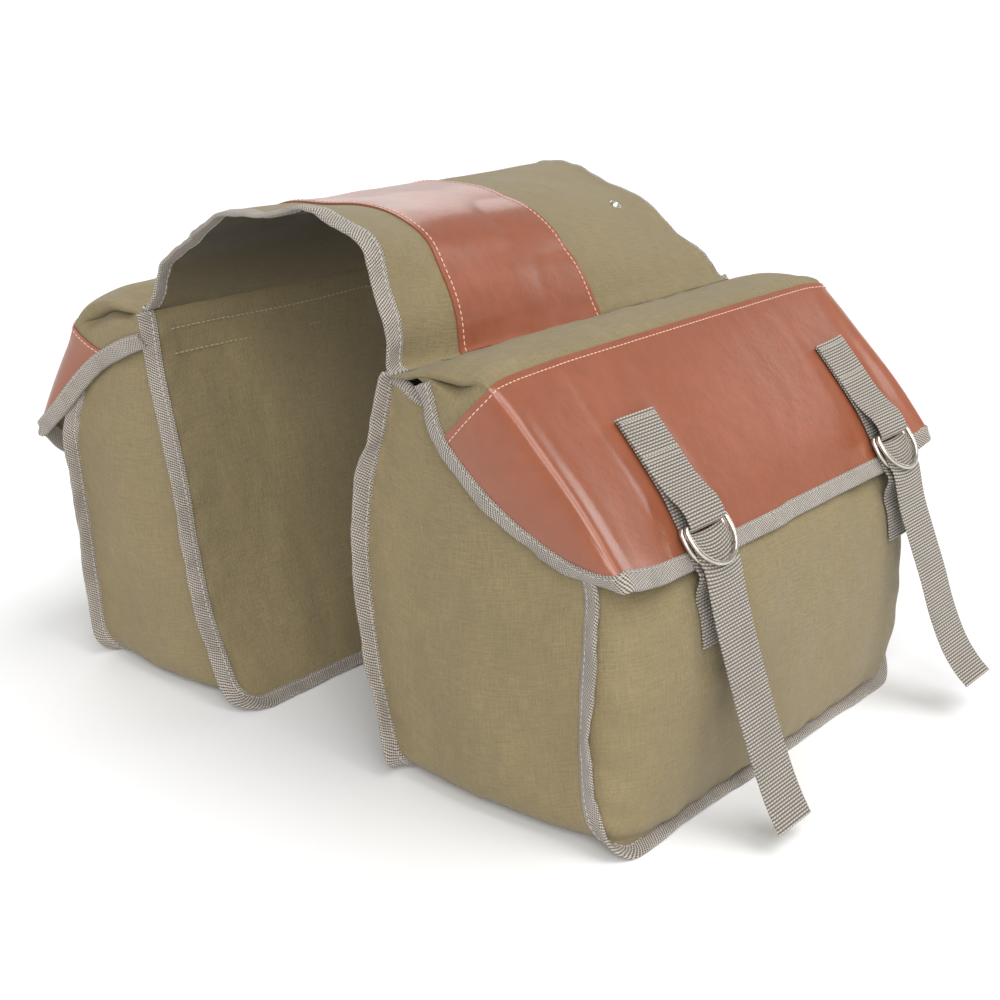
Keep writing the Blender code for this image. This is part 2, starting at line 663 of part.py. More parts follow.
def build_side(name, side, saddle):
    sign = side["sign"]
    hinge_u, hinge_z = side["hinge"]
    hinge = Vector((sign * hinge_u * MM, 0, hinge_z * MM))
    pouch = axis_empty("pouch_axis_" + name, hinge, saddle)
    flap = axis_empty("flap_axis_" + name, hinge, pouch)
    build_pouch(name, side, pouch)
    build_flap(name, side, flap)
    tails = (TAIL_FRONT, TAIL_REAR) if sign > 0 else (TAIL_HANGING, TAIL_HANGING)
    for place, y, tail in zip(("front", "rear"), STRAP_Y, tails):
        label = place + "_" + name
        build_flap_strap("flap_strap_" + label, side, y, flap)
        build_closure_strap("closure_strap_" + label, side, y, tail, pouch)
        line = outermost_line(side, y)
        for ring, bar_out, bow_out in (("inner", INNER_BAR_OUT, INNER_BOW_OUT),
                                       ("outer", OUTER_BAR_OUT, OUTER_BOW_OUT)):
            bar = on_leather(line, sign, y, BAR_ALONG, bar_out)
            bow = on_leather(line, sign, y, BAR_ALONG + RING_DEPTH / MM, bow_out)
            empty = axis_empty("ring_axis_" + ring + "_" + label, bar, flap)
            build_ring("d_ring_" + ring + "_" + label, bar, bow, empty)


def main():
    clear_scene()
    saddle = axis_empty("saddle_origin", (0, 0, 0))
    grid, normals = build_saddle(saddle)
    build_eyelets(grid, normals, saddle)
    for name, side in SIDES.items():
        build_side(name, side, saddle)
    saddle.location.x = -CENTRE_X


main()
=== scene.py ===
"""Looks of the throw-over canvas saddle bag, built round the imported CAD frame.

Lengths here are millimetres in the design's own axes: x from the middle of the gap between the pouches,
y fore and aft (-y is the front), z up from the floor.  world() turns them into the frame's metres.
"""
from math import cos, pi, radians, sin

import bpy
import numpy as np
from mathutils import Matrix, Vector

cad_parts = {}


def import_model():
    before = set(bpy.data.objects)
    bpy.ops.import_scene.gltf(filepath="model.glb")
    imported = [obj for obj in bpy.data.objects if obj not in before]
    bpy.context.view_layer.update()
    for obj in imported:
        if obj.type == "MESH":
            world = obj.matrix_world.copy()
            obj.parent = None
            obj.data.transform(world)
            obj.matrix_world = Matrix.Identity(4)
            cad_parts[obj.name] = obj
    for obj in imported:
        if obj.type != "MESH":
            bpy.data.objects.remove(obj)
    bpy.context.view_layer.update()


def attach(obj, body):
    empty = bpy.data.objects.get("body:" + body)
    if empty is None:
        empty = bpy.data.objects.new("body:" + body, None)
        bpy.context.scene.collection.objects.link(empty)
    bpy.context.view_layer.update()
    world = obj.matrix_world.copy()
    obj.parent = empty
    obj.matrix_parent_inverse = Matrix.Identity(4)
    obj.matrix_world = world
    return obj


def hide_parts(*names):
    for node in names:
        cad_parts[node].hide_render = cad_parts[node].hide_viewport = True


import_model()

CENTRE_X = 6.8                  # middle of the whole bag, from the middle of the gap
HALF_LENGTH = 170.6             # half of a pouch's length, seam to seam
FRONT_CORNER = 18.0             # radius of the pouch's lower corners at the front end
REAR_CORNER = 42.0
BOTTOM = 4.0                    # underside of the gusset
CANVAS = 1.3                    # thickness of a visible canvas sheet
LINING = 1.0
LINING_DEPTH = 2.0              # how far under the saddle sheet's middle the lining lies
LEATHER = 1.1
TAPE_THICKNESS = 2.7            # binding, folded
SADDLE_SPREAD = 480.0           # scale that the saddle sheet's wrinkles are laid out on, over the arch
FLAP_END = 177.6                # where a flap's ends hang
FLAP_SPREAD = 175.0             # the same for a flap's wrinkles, seam to hem
FOLD = 8 / 14                   # share of the flap from its seam to the leather's edge
ROLL_SHARE = 0.06               # part of the hanging end that the tucked fold takes up
ROLL_RADIUS = 2.6
ROLL_TUCK = 9.0                 # how far the fold is drawn back under the top
ROLL_STEPS = 8
HANGING_STEPS = 30
TIP_FOLD = 0.33                 # the fold's place along the line of the flap's hanging tips
FULL_POWER = 8                  # how boxy a full panel is: its fullness reaches nearer its ends
WEBBING_WIDTH = 35.0
WEBBING_THICKNESS = 1.25
RIB_PITCH = 1.9                 # of the webbing's ribs, along it
LUMP_PITCH = 2.9                # of the lumps in each rib, across it
ACROSS = 17                     # points across a strap
PATCH_FRONT_Y = -117.0
PATCH_REAR_Y = 20.0
STRAP_Y = {"front": -89.0, "rear": 134.0}
RING_HALF_WIDTH = 19.7          # to the middle of the wire
RING_DEPTH = 26.0
RING_CORNER = 3.2
RING_WIRE = 1.5                 # radius
BAR_ALONG = -18.0               # the rings' straight bars, from the hem
INNER_BAR_OUT = 3.3             # heights over the leather of each ring's bar and bow
OUTER_BAR_OUT = 6.65
INNER_BOW_OUT = 3.8
OUTER_BOW_OUT = 10.3
HEM_TAPE = 5.0                  # how far the hem's binding reaches beyond the flap profile
FLOOR_CLEARANCE = 0.3
LEAN_MOST = 84.0                # degrees that a seam's tape leans over at most
LEAN_BELOW = 76.0               # under the pouch's bottom
LEAN_COVERED = 64.0             # where the flap covers it

# Points in the grid of each sheet: rows, columns
FRONT_GRID = (110, 170)
BACK_GRID = (100, 120)
GUSSET_GRID = (300, 64)
SADDLE_GRID = (220, 170)
FLAP_GRID = (130, 190)
LEATHER_LINE = (57, 24)         # points down a flap's profile, and the first of them that is on the leather

# A rolled eyelet's section, as (distance from its axis, height)
EYELET_PROFILE = [(2.2, -1.2), (2.2, 1.1), (2.5, 1.6), (3.1, 1.95), (3.8, 1.8), (4.3, 1.2), (4.5, 0.4),
                  (4.5, -1.2)]
EYELET_SIDES = 48

# Profiles of the sheets, as (distance from the middle, height), seam to seam or bottom to top
SADDLE_FRONT = [(-145.2, 258.4), (-143, 261), (-131, 282), (-108, 305), (-70, 324), (-32, 331), (0, 334),
                (26, 333), (48, 321), (61, 299), (67, 276), (69, 255.5), (71.2, 252.4)]
SADDLE_REAR = [(-145.2, 258.4), (-143, 261), (-139, 285), (-126, 308), (-98, 322), (-65, 321), (-38, 315),
               (-8, 304), (16, 291), (37, 277), (54, 265), (69, 255.5), (71.2, 252.4)]
SIDES = {
    "right": {
        "sign": 1,
        "tape_start": 0.26,
        "lean": {"back": 20.0, "front": 72.0},
        "hinge": (71.5, 252.5),
        "back": [(68, 4), (60, 30), (51, 65), (45, 110), (43, 145), (48, 185), (59, 220), (66, 249.5)],
        "edge": [(222, 4), (211, 13), (204, 30), (201, 62), (201, 100), (203, 136), (201, 162),
                 (182, 192), (161, 221), (139, 246)],
        "mid": [(224, 4), (230, 13), (234, 32), (236, 64), (236, 100), (230, 136), (214, 164),
                (192, 192), (163, 223), (133, 247)],
        "flap_edge": [(76, 251.3), (90, 254), (106, 256), (124, 257), (142, 256), (168, 228),
                      (190, 200), (209, 172)],
        "flap_ridge": [(73, 252.2), (90, 256), (106, 258.5), (124, 259), (143, 257.5), (174, 230),
                       (204, 201), (229.5, 171)],
        "flap_mid": [(73, 252.2), (88, 258), (104, 263.5), (120, 264), (137, 260), (172, 225),
                     (204, 189), (220.5, 162)],
        "flap_tip": [(75, 251.8), (96, 253.5), (103, 228), (120, 209.5), (141, 193.5), (166, 179.5),
                     (196, 168.5), (229, 167.5)],
    },
    "left": {
        "sign": -1,
        "tape_start": 0.0,
        "lean": {"back": -25.0, "front": 14.0},
        "hinge": (145.5, 258.5),
        "back": [(74, 4), (88, 30), (103, 65), (113, 110), (118, 145), (127, 185), (135, 220), (140, 255)],
        "edge": [(206, 4), (214, 13), (218, 30), (221, 62), (225, 100), (229, 136), (230, 162),
                 (220, 190), (207, 217), (190, 242)],
        "mid": [(208, 4), (228, 13), (241, 32), (250, 64), (255, 100), (257, 136), (250, 164),
                (231, 192), (211, 219), (190, 245)],
        "flap_edge": [(150, 257.3), (164, 260), (180, 259), (197, 251), (213, 238), (229, 216),
                      (245, 192), (259, 168)],
        "flap_ridge": [(142, 258), (164, 261), (180, 260), (197, 252), (213, 239), (230, 216),
                       (247, 190), (263, 163)],
        "flap_mid": [(146.5, 258.2), (163, 263), (178, 265), (194, 263), (207, 256), (230, 226),
                     (250, 196), (263, 166)],
        "flap_tip": [(141, 240), (156, 235), (172, 228), (188, 220), (205, 208), (223, 192.5),
                     (243, 174.5), (262, 159)],
    },
}

# A closure strap's way round the inner ring: (place along the flap from the hem, height over the leather),
# with how closely each place follows the ring's round bow
STRAP_THREADED = [(12, 1.8), (8, 1.4), (3, 1.2), (-4, 1.2), (-10, 1.6), (-12.4, 3.4), (-10, 5.2),
                  (-4, 5.75), (3, 5.9), (8, 6.2), (12.5, 6.2)]
THREADED_PULL = [0.4, 0.8, 0.9, 0.8, 0.5, 0.4, 0.5, 0.8, 1.0, 0.8, 0.5]

# The free tails, as (distance out, height), from the hem
TAIL_FRONT = [(16, -26), (23, -48), (31, -71), (39, -93), (47.5, -114), (56, -132), (64.5, -146)]
TAIL_REAR = [(16, -26), (24, -46), (34, -70), (43, -94), (53, -114), (63, -127), (72, -135)]
TAIL_HANGING = [(13, -23), (14, -45), (14, -68), (13, -90), (13, -111), (14, -128), (16, -142)]
ANCHOR_HEIGHTS = (110, 120, 129, 139)                # where a closure strap is sewn to its pouch

# Bound front and rear edges of the saddle sheet: the sheet's column, the way out, a seed, widths behind and
# beyond the edge, degrees that the tape is turned down, and the place of its stitches if not the usual one
SADDLE_TAPES = (
    ("front", 0, -1, 31, 8.0, 4.6, 0.0, None),
    ("rear", -1, 1, 37, 1.4, 9.2, 58.0, 1.6),
)
EYELET_SHARES = {"right": 14 / 22, "left": 4 / 22}   # places from the left seam to the right one
EYELET_Y = 124.0


# ---------------------------------------------------------------- curves and noise

def world(points):
    """Design millimetres to frame metres."""
    return (np.asarray(points, float) - (CENTRE_X, 0, 0)) * 0.001


def spline(points, places):
    """Catmull-Rom through points, read at places from 0 to 1, evenly by parameter."""
    knots = np.asarray(points, float)
    knots = np.concatenate([[2 * knots[0] - knots[1]], knots, [2 * knots[-1] - knots[-2]]])
    spans = len(points) - 1
    place = np.clip(np.asarray(places, float), 0, 1) * spans
    first = np.minimum(place.astype(int), spans - 1)
    t = (place - first).reshape(place.shape + (1,) * (knots.ndim - 1))
    a, b, c, d = (knots[first + k] for k in range(4))
    square = 2 * a - 5 * b + 4 * c - d
    cube = 3 * b - a - 3 * c + d
    return 0.5 * (2 * b + (c - a) * t + square * t ** 2 + cube * t ** 3)


def smoothstep(low, high, value):
    t = np.clip((np.asarray(value, float) - low) / (high - low), 0, 1)
    return t * t * (3 - 2 * t)


def unit(vectors):
    return vectors / np.maximum(np.linalg.norm(vectors, axis=-1, keepdims=True), 1e-9)


def hashed(cells, seed):
    """A number from -1 to 1 for each cell of a lattice."""
    mixed = np.full(cells.shape[:-1], seed * 974634777 & 0xFFFFFFFF, np.int64)
    for axis, prime in enumerate((374761393, 668265263, 1440662683)[:cells.shape[-1]]):
        mixed = (mixed ^ (cells[..., axis] * prime)) & 0xFFFFFFFF
        mixed = ((mixed ^ (mixed >> 13)) * 1274126177) & 0xFFFFFFFF
    return ((mixed ^ (mixed >> 16)) & 0xFFFF) / 32767.5 - 1


def noise(points, size, seed):
    """Smooth noise from -1 to 1, with lumps about size across; size may differ by axis."""
    place = np.asarray(points, float) / size
    cell = np.floor(place).astype(np.int64)
    inside = place - cell
    inside = inside ** 3 * (inside * (inside * 6 - 15) + 10)
    axes = place.shape[-1]
    total = 0
    for corner in range(2 ** axes):
        bits = np.array([corner >> axis & 1 for axis in range(axes)])
        weight = np.prod(np.where(bits, inside, 1 - inside), axis=-1)
        total = total + weight * hashed(cell + bits, seed)
    return total


def wrinkles(points, size, seed):
    """Ridged noise: narrow creases between broad soft swells, from -1 to 1."""
    swell = noise(points, size, seed) + 0.5 * noise(points, size * 0.5, seed + 1)
    crease = 1 - 2 * (noise(points, size * 0.8, seed + 2) ** 2 + 0.012) ** 0.4
    return 0.55 * swell + 0.45 * crease * noise(points, size * 2, seed + 3)


def puckers(along, away, pitch, reach, seed):
    """Ripples across a sewn seam that die out away from it."""
    places = np.stack([np.asarray(along, float), 0 * np.asarray(along, float)], -1)
    phase = 2 * pi * along / pitch + 2.4 * noise(places, pitch * 2.2, seed)
    strength = 0.6 + 0.4 * noise(places, pitch * 3.0, seed + 1)
    return strength * np.sin(phase) * np.exp(-np.abs(away) / reach)


def lengths_along(line):
    """Distance along a line of points, from its start."""
    steps = np.linalg.norm(np.diff(line, axis=0), axis=-1)
    return np.concatenate([[0], np.cumsum(steps)])


def at_places(places, lengths, values):
    """Reads values, rows that stand at lengths along a line, at places along it."""
    return np.stack([np.interp(places, lengths, column) for column in np.asarray(values, float).T], -1)


def resampled(line, count, *others):
    """A line, and arrays that belong to its points, at count even places along it."""
    lengths = lengths_along(line)
    even = np.linspace(0, lengths[-1], count)
    return [at_places(even, lengths, values) for values in (line, *others)]


# ---------------------------------------------------------------- meshes

def finished(name, verts, faces, material, body, uvs=None, slot=None, replaces=(), sharp=50):
    """A piece from design-millimetre points; uvs are millimetres too, one for each face corner."""
    verts = np.array(verts, float)
    verts[:, 2] = np.maximum(verts[:, 2], FLOOR_CLEARANCE)
    mesh = bpy.data.meshes.new(name)
    mesh.from_pydata(world(verts).tolist(), [], [tuple(map(int, f)) for f in faces])
    if uvs is not None:
        layer = mesh.uv_layers.new(name="cloth")
        layer.data.foreach_set("uv", (np.asarray(uvs, float) * 0.001).ravel())
    mesh.materials.append(material)
    mesh.shade_smooth()
    mesh.set_sharp_from_angle(angle=radians(sharp))
    piece = bpy.data.objects.new(name, mesh)
    bpy.context.scene.collection.objects.link(piece)
    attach(piece, body)
    if replaces:
        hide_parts(*replaces)
    return piece


def grid_normals(grid):
    """Unit normals of a grid of points, on the side that its rows and columns happen to give."""
    return unit(np.cross(np.gradient(grid, axis=0), np.gradient(grid, axis=1)))


def grid_faces(rows, columns, start=0, flip=False):
    i, j = np.meshgrid(np.arange(rows - 1), np.arange(columns - 1), indexing="ij")
    corner = start + i * columns + j
    quads = np.stack([corner, corner + columns, corner + columns + 1, corner + 1], -1).reshape(-1, 4)
    return quads[:, ::-1] if flip else quads


def sheet(name, grid, thickness, material, body, outward, offset=0.0, normals=None, **more):
    """A sheet with two faces and a rim: its outer face lies offset out of the grid of points.

    outward is a direction that the outer face points along, near the middle of the grid.
    """
    rows, columns = grid.shape[:2]
    if normals is None:
        normals = grid_normals(grid)
        if normals[rows // 2, columns // 2] @ np.asarray(outward, float) < 0:
            normals = -normals
    outer = grid + offset * normals
    inner = grid + (offset - thickness) * normals
    middle = grid_normals(outer)[rows // 2, columns // 2]
    flip = middle @ np.asarray(outward, float) < 0
    verts = np.concatenate([outer.reshape(-1, 3), inner.reshape(-1, 3)])
    size = rows * columns
    faces = [grid_faces(rows, columns, 0, flip), grid_faces(rows, columns, size, not flip)]
    rim = [i * columns for i in range(rows)]
    rim += [(rows - 1) * columns + j for j in range(1, columns)]
    rim += [i * columns + columns - 1 for i in range(rows - 2, -1, -1)]
    rim += list(range(columns - 2, 0, -1))
    rim = np.array(rim)
    following = np.roll(rim, -1)
    edge = np.stack([rim, rim + size, following + size, following], -1)
    faces.append(edge[:, ::-1] if flip else edge)
    faces = np.concatenate(faces)
    u = np.cumsum(np.linalg.norm(np.diff(grid, axis=1, prepend=grid[:, :1]), axis=-1), axis=1)
    v = np.cumsum(np.linalg.norm(np.diff(grid, axis=0, prepend=grid[:1]), axis=-1), axis=0)
    u = u - u[:, columns // 2:columns // 2 + 1]
    uv = np.stack([u, v], -1).reshape(-1, 2)
    uv = np.concatenate([uv, uv])
    return finished(name, verts, faces, material, body, uvs=uv[faces].reshape(-1, 2), **more)


def tube_faces(rows, columns):
    """Quads round a tube of closed loops, and the row, column and next column that each one starts from."""
    i, j = np.meshgrid(np.arange(rows - 1), np.arange(columns), indexing="ij")
    after = (j + 1) % columns
    near = i * columns
    far = (i + 1) * columns
    return np.stack([near + j, near + after, far + after, far + j], -1), i, j, after


def tube_uvs(u, v, i, j, after):
    """For each such quad, u and v at its four corners: u by column and v by row."""
    corners = ((j, i), (after, i), (after, i + 1), (j, i + 1))
    return np.stack([np.stack([u[column], v[row]], -1) for column, row in corners], -2)


def tube_caps(rows, columns, flip):
    """The two faces that close such a tube."""
    first = list(range(columns))
    last = [(rows - 1) * columns + k for k in first]
    return [first, last[::-1]] if flip else [first[::-1], last]


def sweep(name, path, side, up, section, material, body, **more):
    """A tape along a path: section is a loop of (side, up) millimetres, or one such loop for each place."""
    section = np.asarray(section, float)
    if section.ndim == 2:
        section = np.broadcast_to(section, (len(path),) + section.shape)
    grid = path[:, None] + section[..., :1] * side[:, None] + section[..., 1:] * up[:, None]
    rows, columns = grid.shape[:2]
    verts = grid.reshape(-1, 3)
    faces, i, j, _ = tube_faces(rows, columns)
    around = lengths_along(section[0])
    around = np.append(around, around[-1] + np.linalg.norm(section[0][0] - section[0][-1]))
    uvs = tube_uvs(around, lengths_along(path), i, j, j + 1).reshape(-1, 4, 2)
    faces = faces.reshape(-1, 4)
    middle = len(path) // 2
    outward = grid[middle] - grid[middle].mean(0)
    ring = grid[middle]
    ahead = path[min(middle + 1, rows - 1)] - path[middle]
    normal = np.cross(np.roll(ring, -1, 0) - ring, ahead)
    flip = (normal * outward).sum() < 0
    if flip:
        faces = faces[:, ::-1]
        uvs = uvs[:, ::-1]
    caps = tube_caps(rows, columns, flip)
    cap_uvs = [(around[k % columns], 0.0) for cap in caps for k in cap]
    return finished(name, verts, list(faces) + caps, material, body,
                    uvs=np.concatenate([uvs.reshape(-1, 2), cap_uvs]), **more)


def rounded_strip(width_in, width_out, thickness, count=5):
    """Section of a folded tape: from width_in behind the edge to width_out beyond it, with a round fold."""
    half = 0.5 * thickness
    loop = [(-width_in, -0.72 * half), (-width_in * 0.5, -half), (width_out - half, -half)]
    for k in range(1, count + 1):
        angle = -pi / 2 + pi * k / (count + 1)
        loop.append((width_out - half + half * cos(angle), half * sin(angle)))
    loop += [(width_out - half, half), (-width_in * 0.5, half), (-width_in, 0.72 * half)]
    return np.array(loop)


# A stitch's cross-sections: place along it and share of its radius
STITCH_RINGS = ((-0.5, 0.35), (-0.32, 0.85), (0.0, 1.0), (0.32, 0.85), (0.5, 0.35))


def stitches(name, path, up, material, body, pitch=3.6, length=2.7, radius=0.42, sides=6, proud=0.15, **more):
    """A row of thread stitches along a path on a surface whose outward direction is up."""
    lengths = lengths_along(path)
    count = int(lengths[-1] / pitch)
    middles = (np.arange(count) + 0.5) * lengths[-1] / count
    centres = at_places(middles, lengths, path)
    lifted = at_places(middles, lengths, up)
    tangent = unit(at_places(middles + 0.5, lengths, path) - centres)
    rise = unit(lifted - (lifted * tangent).sum(-1, keepdims=True) * tangent)
    across = np.cross(tangent, rise)
    template = []
    for place, share in STITCH_RINGS:
        for k in range(sides):
            angle = 2 * pi * k / sides
            template.append((place * length, share * radius * cos(angle), share * radius * sin(angle)))
    template = np.array(template)
    verts = (centres[:, None] + template[None, :, :1] * tangent[:, None]
             + template[None, :, 1:2] * across[:, None] + (template[None, :, 2:] + proud) * rise[:, None])
    rings = len(STITCH_RINGS)
    faces = []
    for r in range(rings - 1):
        for k in range(sides):
            n = (k + 1) % sides
            faces.append((r * sides + k, (r + 1) * sides + k, (r + 1) * sides + n, r * sides + n))
    ends = [tuple(range(sides)), tuple((rings - 1) * sides + k for k in reversed(range(sides)))]
    size = len(template)
    all_faces = []
    for s in range(count):
        all_faces += [tuple(v + s * size for v in f) for f in faces + ends]
    return finished(name, verts.reshape(-1, 3), all_faces, material, body, sharp=80, **more)


# ---------------------------------------------------------------- materials

class Nodes:
    """Short hand for building one material's node tree."""

    def __init__(self, name):
        self.material = bpy.data.materials.new(name)
        self.material.use_nodes = True
        self.tree = self.material.node_tree
        self.shader = self.tree.nodes["Principled BSDF"]

    def add(self, kind, **values):
        made = self.tree.nodes.new("ShaderNode" + kind)
        for key, value in values.items():
            setattr(made, key, value)
        return made

    def put(self, socket, value):
        if isinstance(value, bpy.types.NodeSocket):
            self.tree.links.new(value, socket)
        else:
            socket.default_value = value

    def math(self, operation, a, b=0.0, c=None):
        made = self.add("Math", operation=operation)
        self.put(made.inputs[0], a)
        self.put(made.inputs[1], b)
        if c is not None:
            self.put(made.inputs[2], c)
        return made.outputs[0]

    def uv(self):
        """The cloth's own coordinates, in millimetres, as separate u and v."""
        separate = self.add("SeparateXYZ")
        source = self.add("UVMap", uv_map="cloth").outputs["UV"]
        self.put(separate.inputs[0], source)
        return (self.math("MULTIPLY", separate.outputs[0], 1000.0),
                self.math("MULTIPLY", separate.outputs[1], 1000.0))

    def place(self, scale=(1, 1, 1)):
        """Object coordinates in millimetres, stretched by scale."""
        made = self.add("VectorMath", operation="MULTIPLY")
        self.put(made.inputs[0], self.add("TexCoord").outputs["Object"])
        made.inputs[1].default_value = [1000.0 * s for s in scale]
        return made.outputs[0]

    def uv_place(self, u, v, su, sv):
        """A point from u and v, each divided by its own lump size."""
        made = self.add("CombineXYZ")
        self.put(made.inputs[0], self.math("DIVIDE", u, su))
        self.put(made.inputs[1], self.math("DIVIDE", v, sv))
        return made.outputs[0]

    def noise(self, vector, scale, detail=2.0, roughness=0.5):
        made = self.add("TexNoise")
        self.put(made.inputs["Vector"], vector)
        made.inputs["Scale"].default_value = scale
        made.inputs["Detail"].default_value = detail
        made.inputs["Roughness"].default_value = roughness
        return made.outputs["Fac"]

    def mix(self, factor, a, b):
        made = self.add("Mix", data_type="RGBA")
        self.put(made.inputs[0], factor)
        self.put(made.inputs[6], a if isinstance(a, bpy.types.NodeSocket) else (*a, 1.0))
        self.put(made.inputs[7], b if isinstance(b, bpy.types.NodeSocket) else (*b, 1.0))
        return made.outputs[2]

    def spread(self, value, low, high):
        """Maps low..high onto 0..1, clamped."""
        made = self.add("MapRange")
        self.put(made.inputs[0], value)
        made.inputs[1].default_value = low
        made.inputs[2].default_value = high
        return made.outputs[0]

    def sine(self, value, pitch):
        """A wave from 0 to 1 that repeats every pitch."""
        turned = self.math("SINE", self.math("MULTIPLY", value, 2 * pi / pitch))
        return self.math("MULTIPLY_ADD", turned, 0.5, 0.5)

    def bump(self, height, distance, strength=1.0, normal=None):
        made = self.add("Bump")
        made.inputs["Strength"].default_value = strength
        made.inputs["Distance"].default_value = distance
        self.put(made.inputs["Height"], height)
        if normal is not None:
            self.put(made.inputs["Normal"], normal)
        return made.outputs[0]

    def finish(self, colour, roughness, normal, **constants):
        self.put(self.shader.inputs["Base Color"], colour)
        self.put(self.shader.inputs["Roughness"], roughness)
        self.put(self.shader.inputs["Normal"], normal)
        for name, value in constants.items():
            self.shader.inputs[name.replace("_", " ")].default_value = value
        return self.material


def darker(colour, share):
    return tuple(c * share for c in colour)


def canvas_material(name, colour, painted_shade_top=None):
    """Plain-woven canvas with slubbed threads, fine grain and faint patches of wear.

    The last argument, if given, is the share of its colour that is left at the top of the arch: painted
    shade, darkening the lining towards the top of the tunnel.
    """
    n = Nodes(name)
    u, v = n.uv()
    warp = n.sine(u, 1.15)
    weft = n.sine(v, 1.05)
    weave = n.math("MULTIPLY", warp, weft)
    slub_u = n.noise(n.uv_place(u, v, 14.0, 1.1), 1.0, 2.0)
    slub_v = n.noise(n.uv_place(u, v, 1.1, 14.0), 1.0, 2.0)
    slubs = n.math("ADD", slub_u, slub_v)
    grain = n.noise(n.uv_place(u, v, 1.6, 1.6), 1.0, 3.0, 0.7)
    patches = n.noise(n.place(), 0.016, 4.0, 0.6)
    tone = n.math("ADD", n.math("MULTIPLY", slubs, 0.5), n.math("MULTIPLY", grain, 0.6))
    light = tuple(min(1.0, c * 1.22) for c in colour)
    shade = n.mix(n.spread(tone, 0.55, 1.05), darker(colour, 0.74), light)
    shade = n.mix(n.spread(patches, 0.30, 0.70), n.mix(0.5, shade, darker(colour, 0.80)), shade)
    shade = n.mix(n.math("MULTIPLY", weave, 0.25), shade, darker(colour, 0.72))
    # Painted shade: the colour darkens towards the top of the arch, where the tunnel is darkest.
    if painted_shade_top:
        height_up = n.add("SeparateXYZ")
        n.put(height_up.inputs[0], n.place())
        shade = n.mix(n.spread(height_up.outputs[2], 250.0, 306.0), shade, darker(colour, painted_shade_top))
    height = n.math("ADD", n.math("MULTIPLY", weave, 0.6), n.math("MULTIPLY", slubs, 1.2))
    normal = n.bump(height, 0.0004, 0.55)
    rumple = n.noise(n.place(), 0.045, 5.0, 0.62)
    normal = n.bump(rumple, 0.004, 0.35, normal)
    return n.finish(shade, n.spread(grain, -1.2, 1.3), normal, Sheen_Weight=0.10, Sheen_Roughness=0.5,
                    Specular_IOR_Level=0.15)


def leather_material(name, colour):
    """Smooth coated leather: satin, with faint mottling, fine grain and small scuffs."""
    n = Nodes(name)
    broad = n.noise(n.place(), 0.012, 4.0, 0.55)
    mottle = n.noise(n.place(), 0.09, 4.0, 0.6)
    grain = n.noise(n.place(), 0.85, 3.0, 0.6)
    scuff = n.noise(n.place((1, 0.3, 1)), 0.16, 6.0, 0.75)
    shade = n.mix(n.spread(broad, 0.3, 0.7), darker(colour, 0.90), tuple(c * 1.08 for c in colour))
    shade = n.mix(n.spread(mottle, 0.35, 0.75), shade, darker(colour, 0.86))
    shade = n.mix(n.math("MULTIPLY", n.spread(scuff, 0.55, 0.85), 0.08), shade, (0.45, 0.21, 0.14))
    roughness = n.math("MULTIPLY_ADD", n.spread(scuff, 0.2, 0.9), 0.04, 0.27)
    roughness = n.math("MULTIPLY_ADD", n.spread(broad, 0.3, 0.7), 0.06, roughness)
    normal = n.bump(grain, 0.0003, 0.30)
    normal = n.bump(mottle, 0.0016, 0.22, normal)
    return n.finish(shade, roughness, normal, Specular_IOR_Level=0.44, Coat_Weight=0.25, Coat_Roughness=0.16)


def tape_material(name, light, dark):
    """Twill binding tape: fine diagonal ribs, crossed by the faint line of each thread."""
    n = Nodes(name)
    u, v = n.uv()
    wander = n.math("MULTIPLY", n.noise(n.uv_place(u, v, 6.0, 9.0), 1.0, 2.0), 2.2)
    slope = n.math("ADD", n.math("ADD", n.math("MULTIPLY", u, 0.6), v), wander)
    rib = n.sine(slope, 1.75)
    cross = n.sine(n.math("SUBTRACT", u, n.math("MULTIPLY", v, 0.35)), 1.5)
    fuzz = n.noise(n.uv_place(u, v, 0.9, 0.9), 1.0, 3.0, 0.7)
    tone = n.math("ADD", n.math("MULTIPLY", rib, 0.58), n.math("MULTIPLY", cross, 0.30))
    tone = n.math("ADD", tone, n.math("MULTIPLY", fuzz, 0.42))
    shade = n.mix(n.spread(tone, 0.30, 1.05), dark, light)
    dirt = n.noise(n.place(), 0.05, 4.0, 0.6)
    shade = n.mix(n.math("MULTIPLY", n.spread(dirt, 0.45, 0.8), 0.4), shade, darker(dark, 1.5))
    height = n.math("ADD", rib, n.math("MULTIPLY", cross, 0.4))
    normal = n.bump(height, 0.0006, 0.7)
    return n.finish(shade, n.spread(fuzz, -1.6, 1.2), normal, Sheen_Weight=0.2, Sheen_Roughness=0.5,
                    Specular_IOR_Level=0.25)


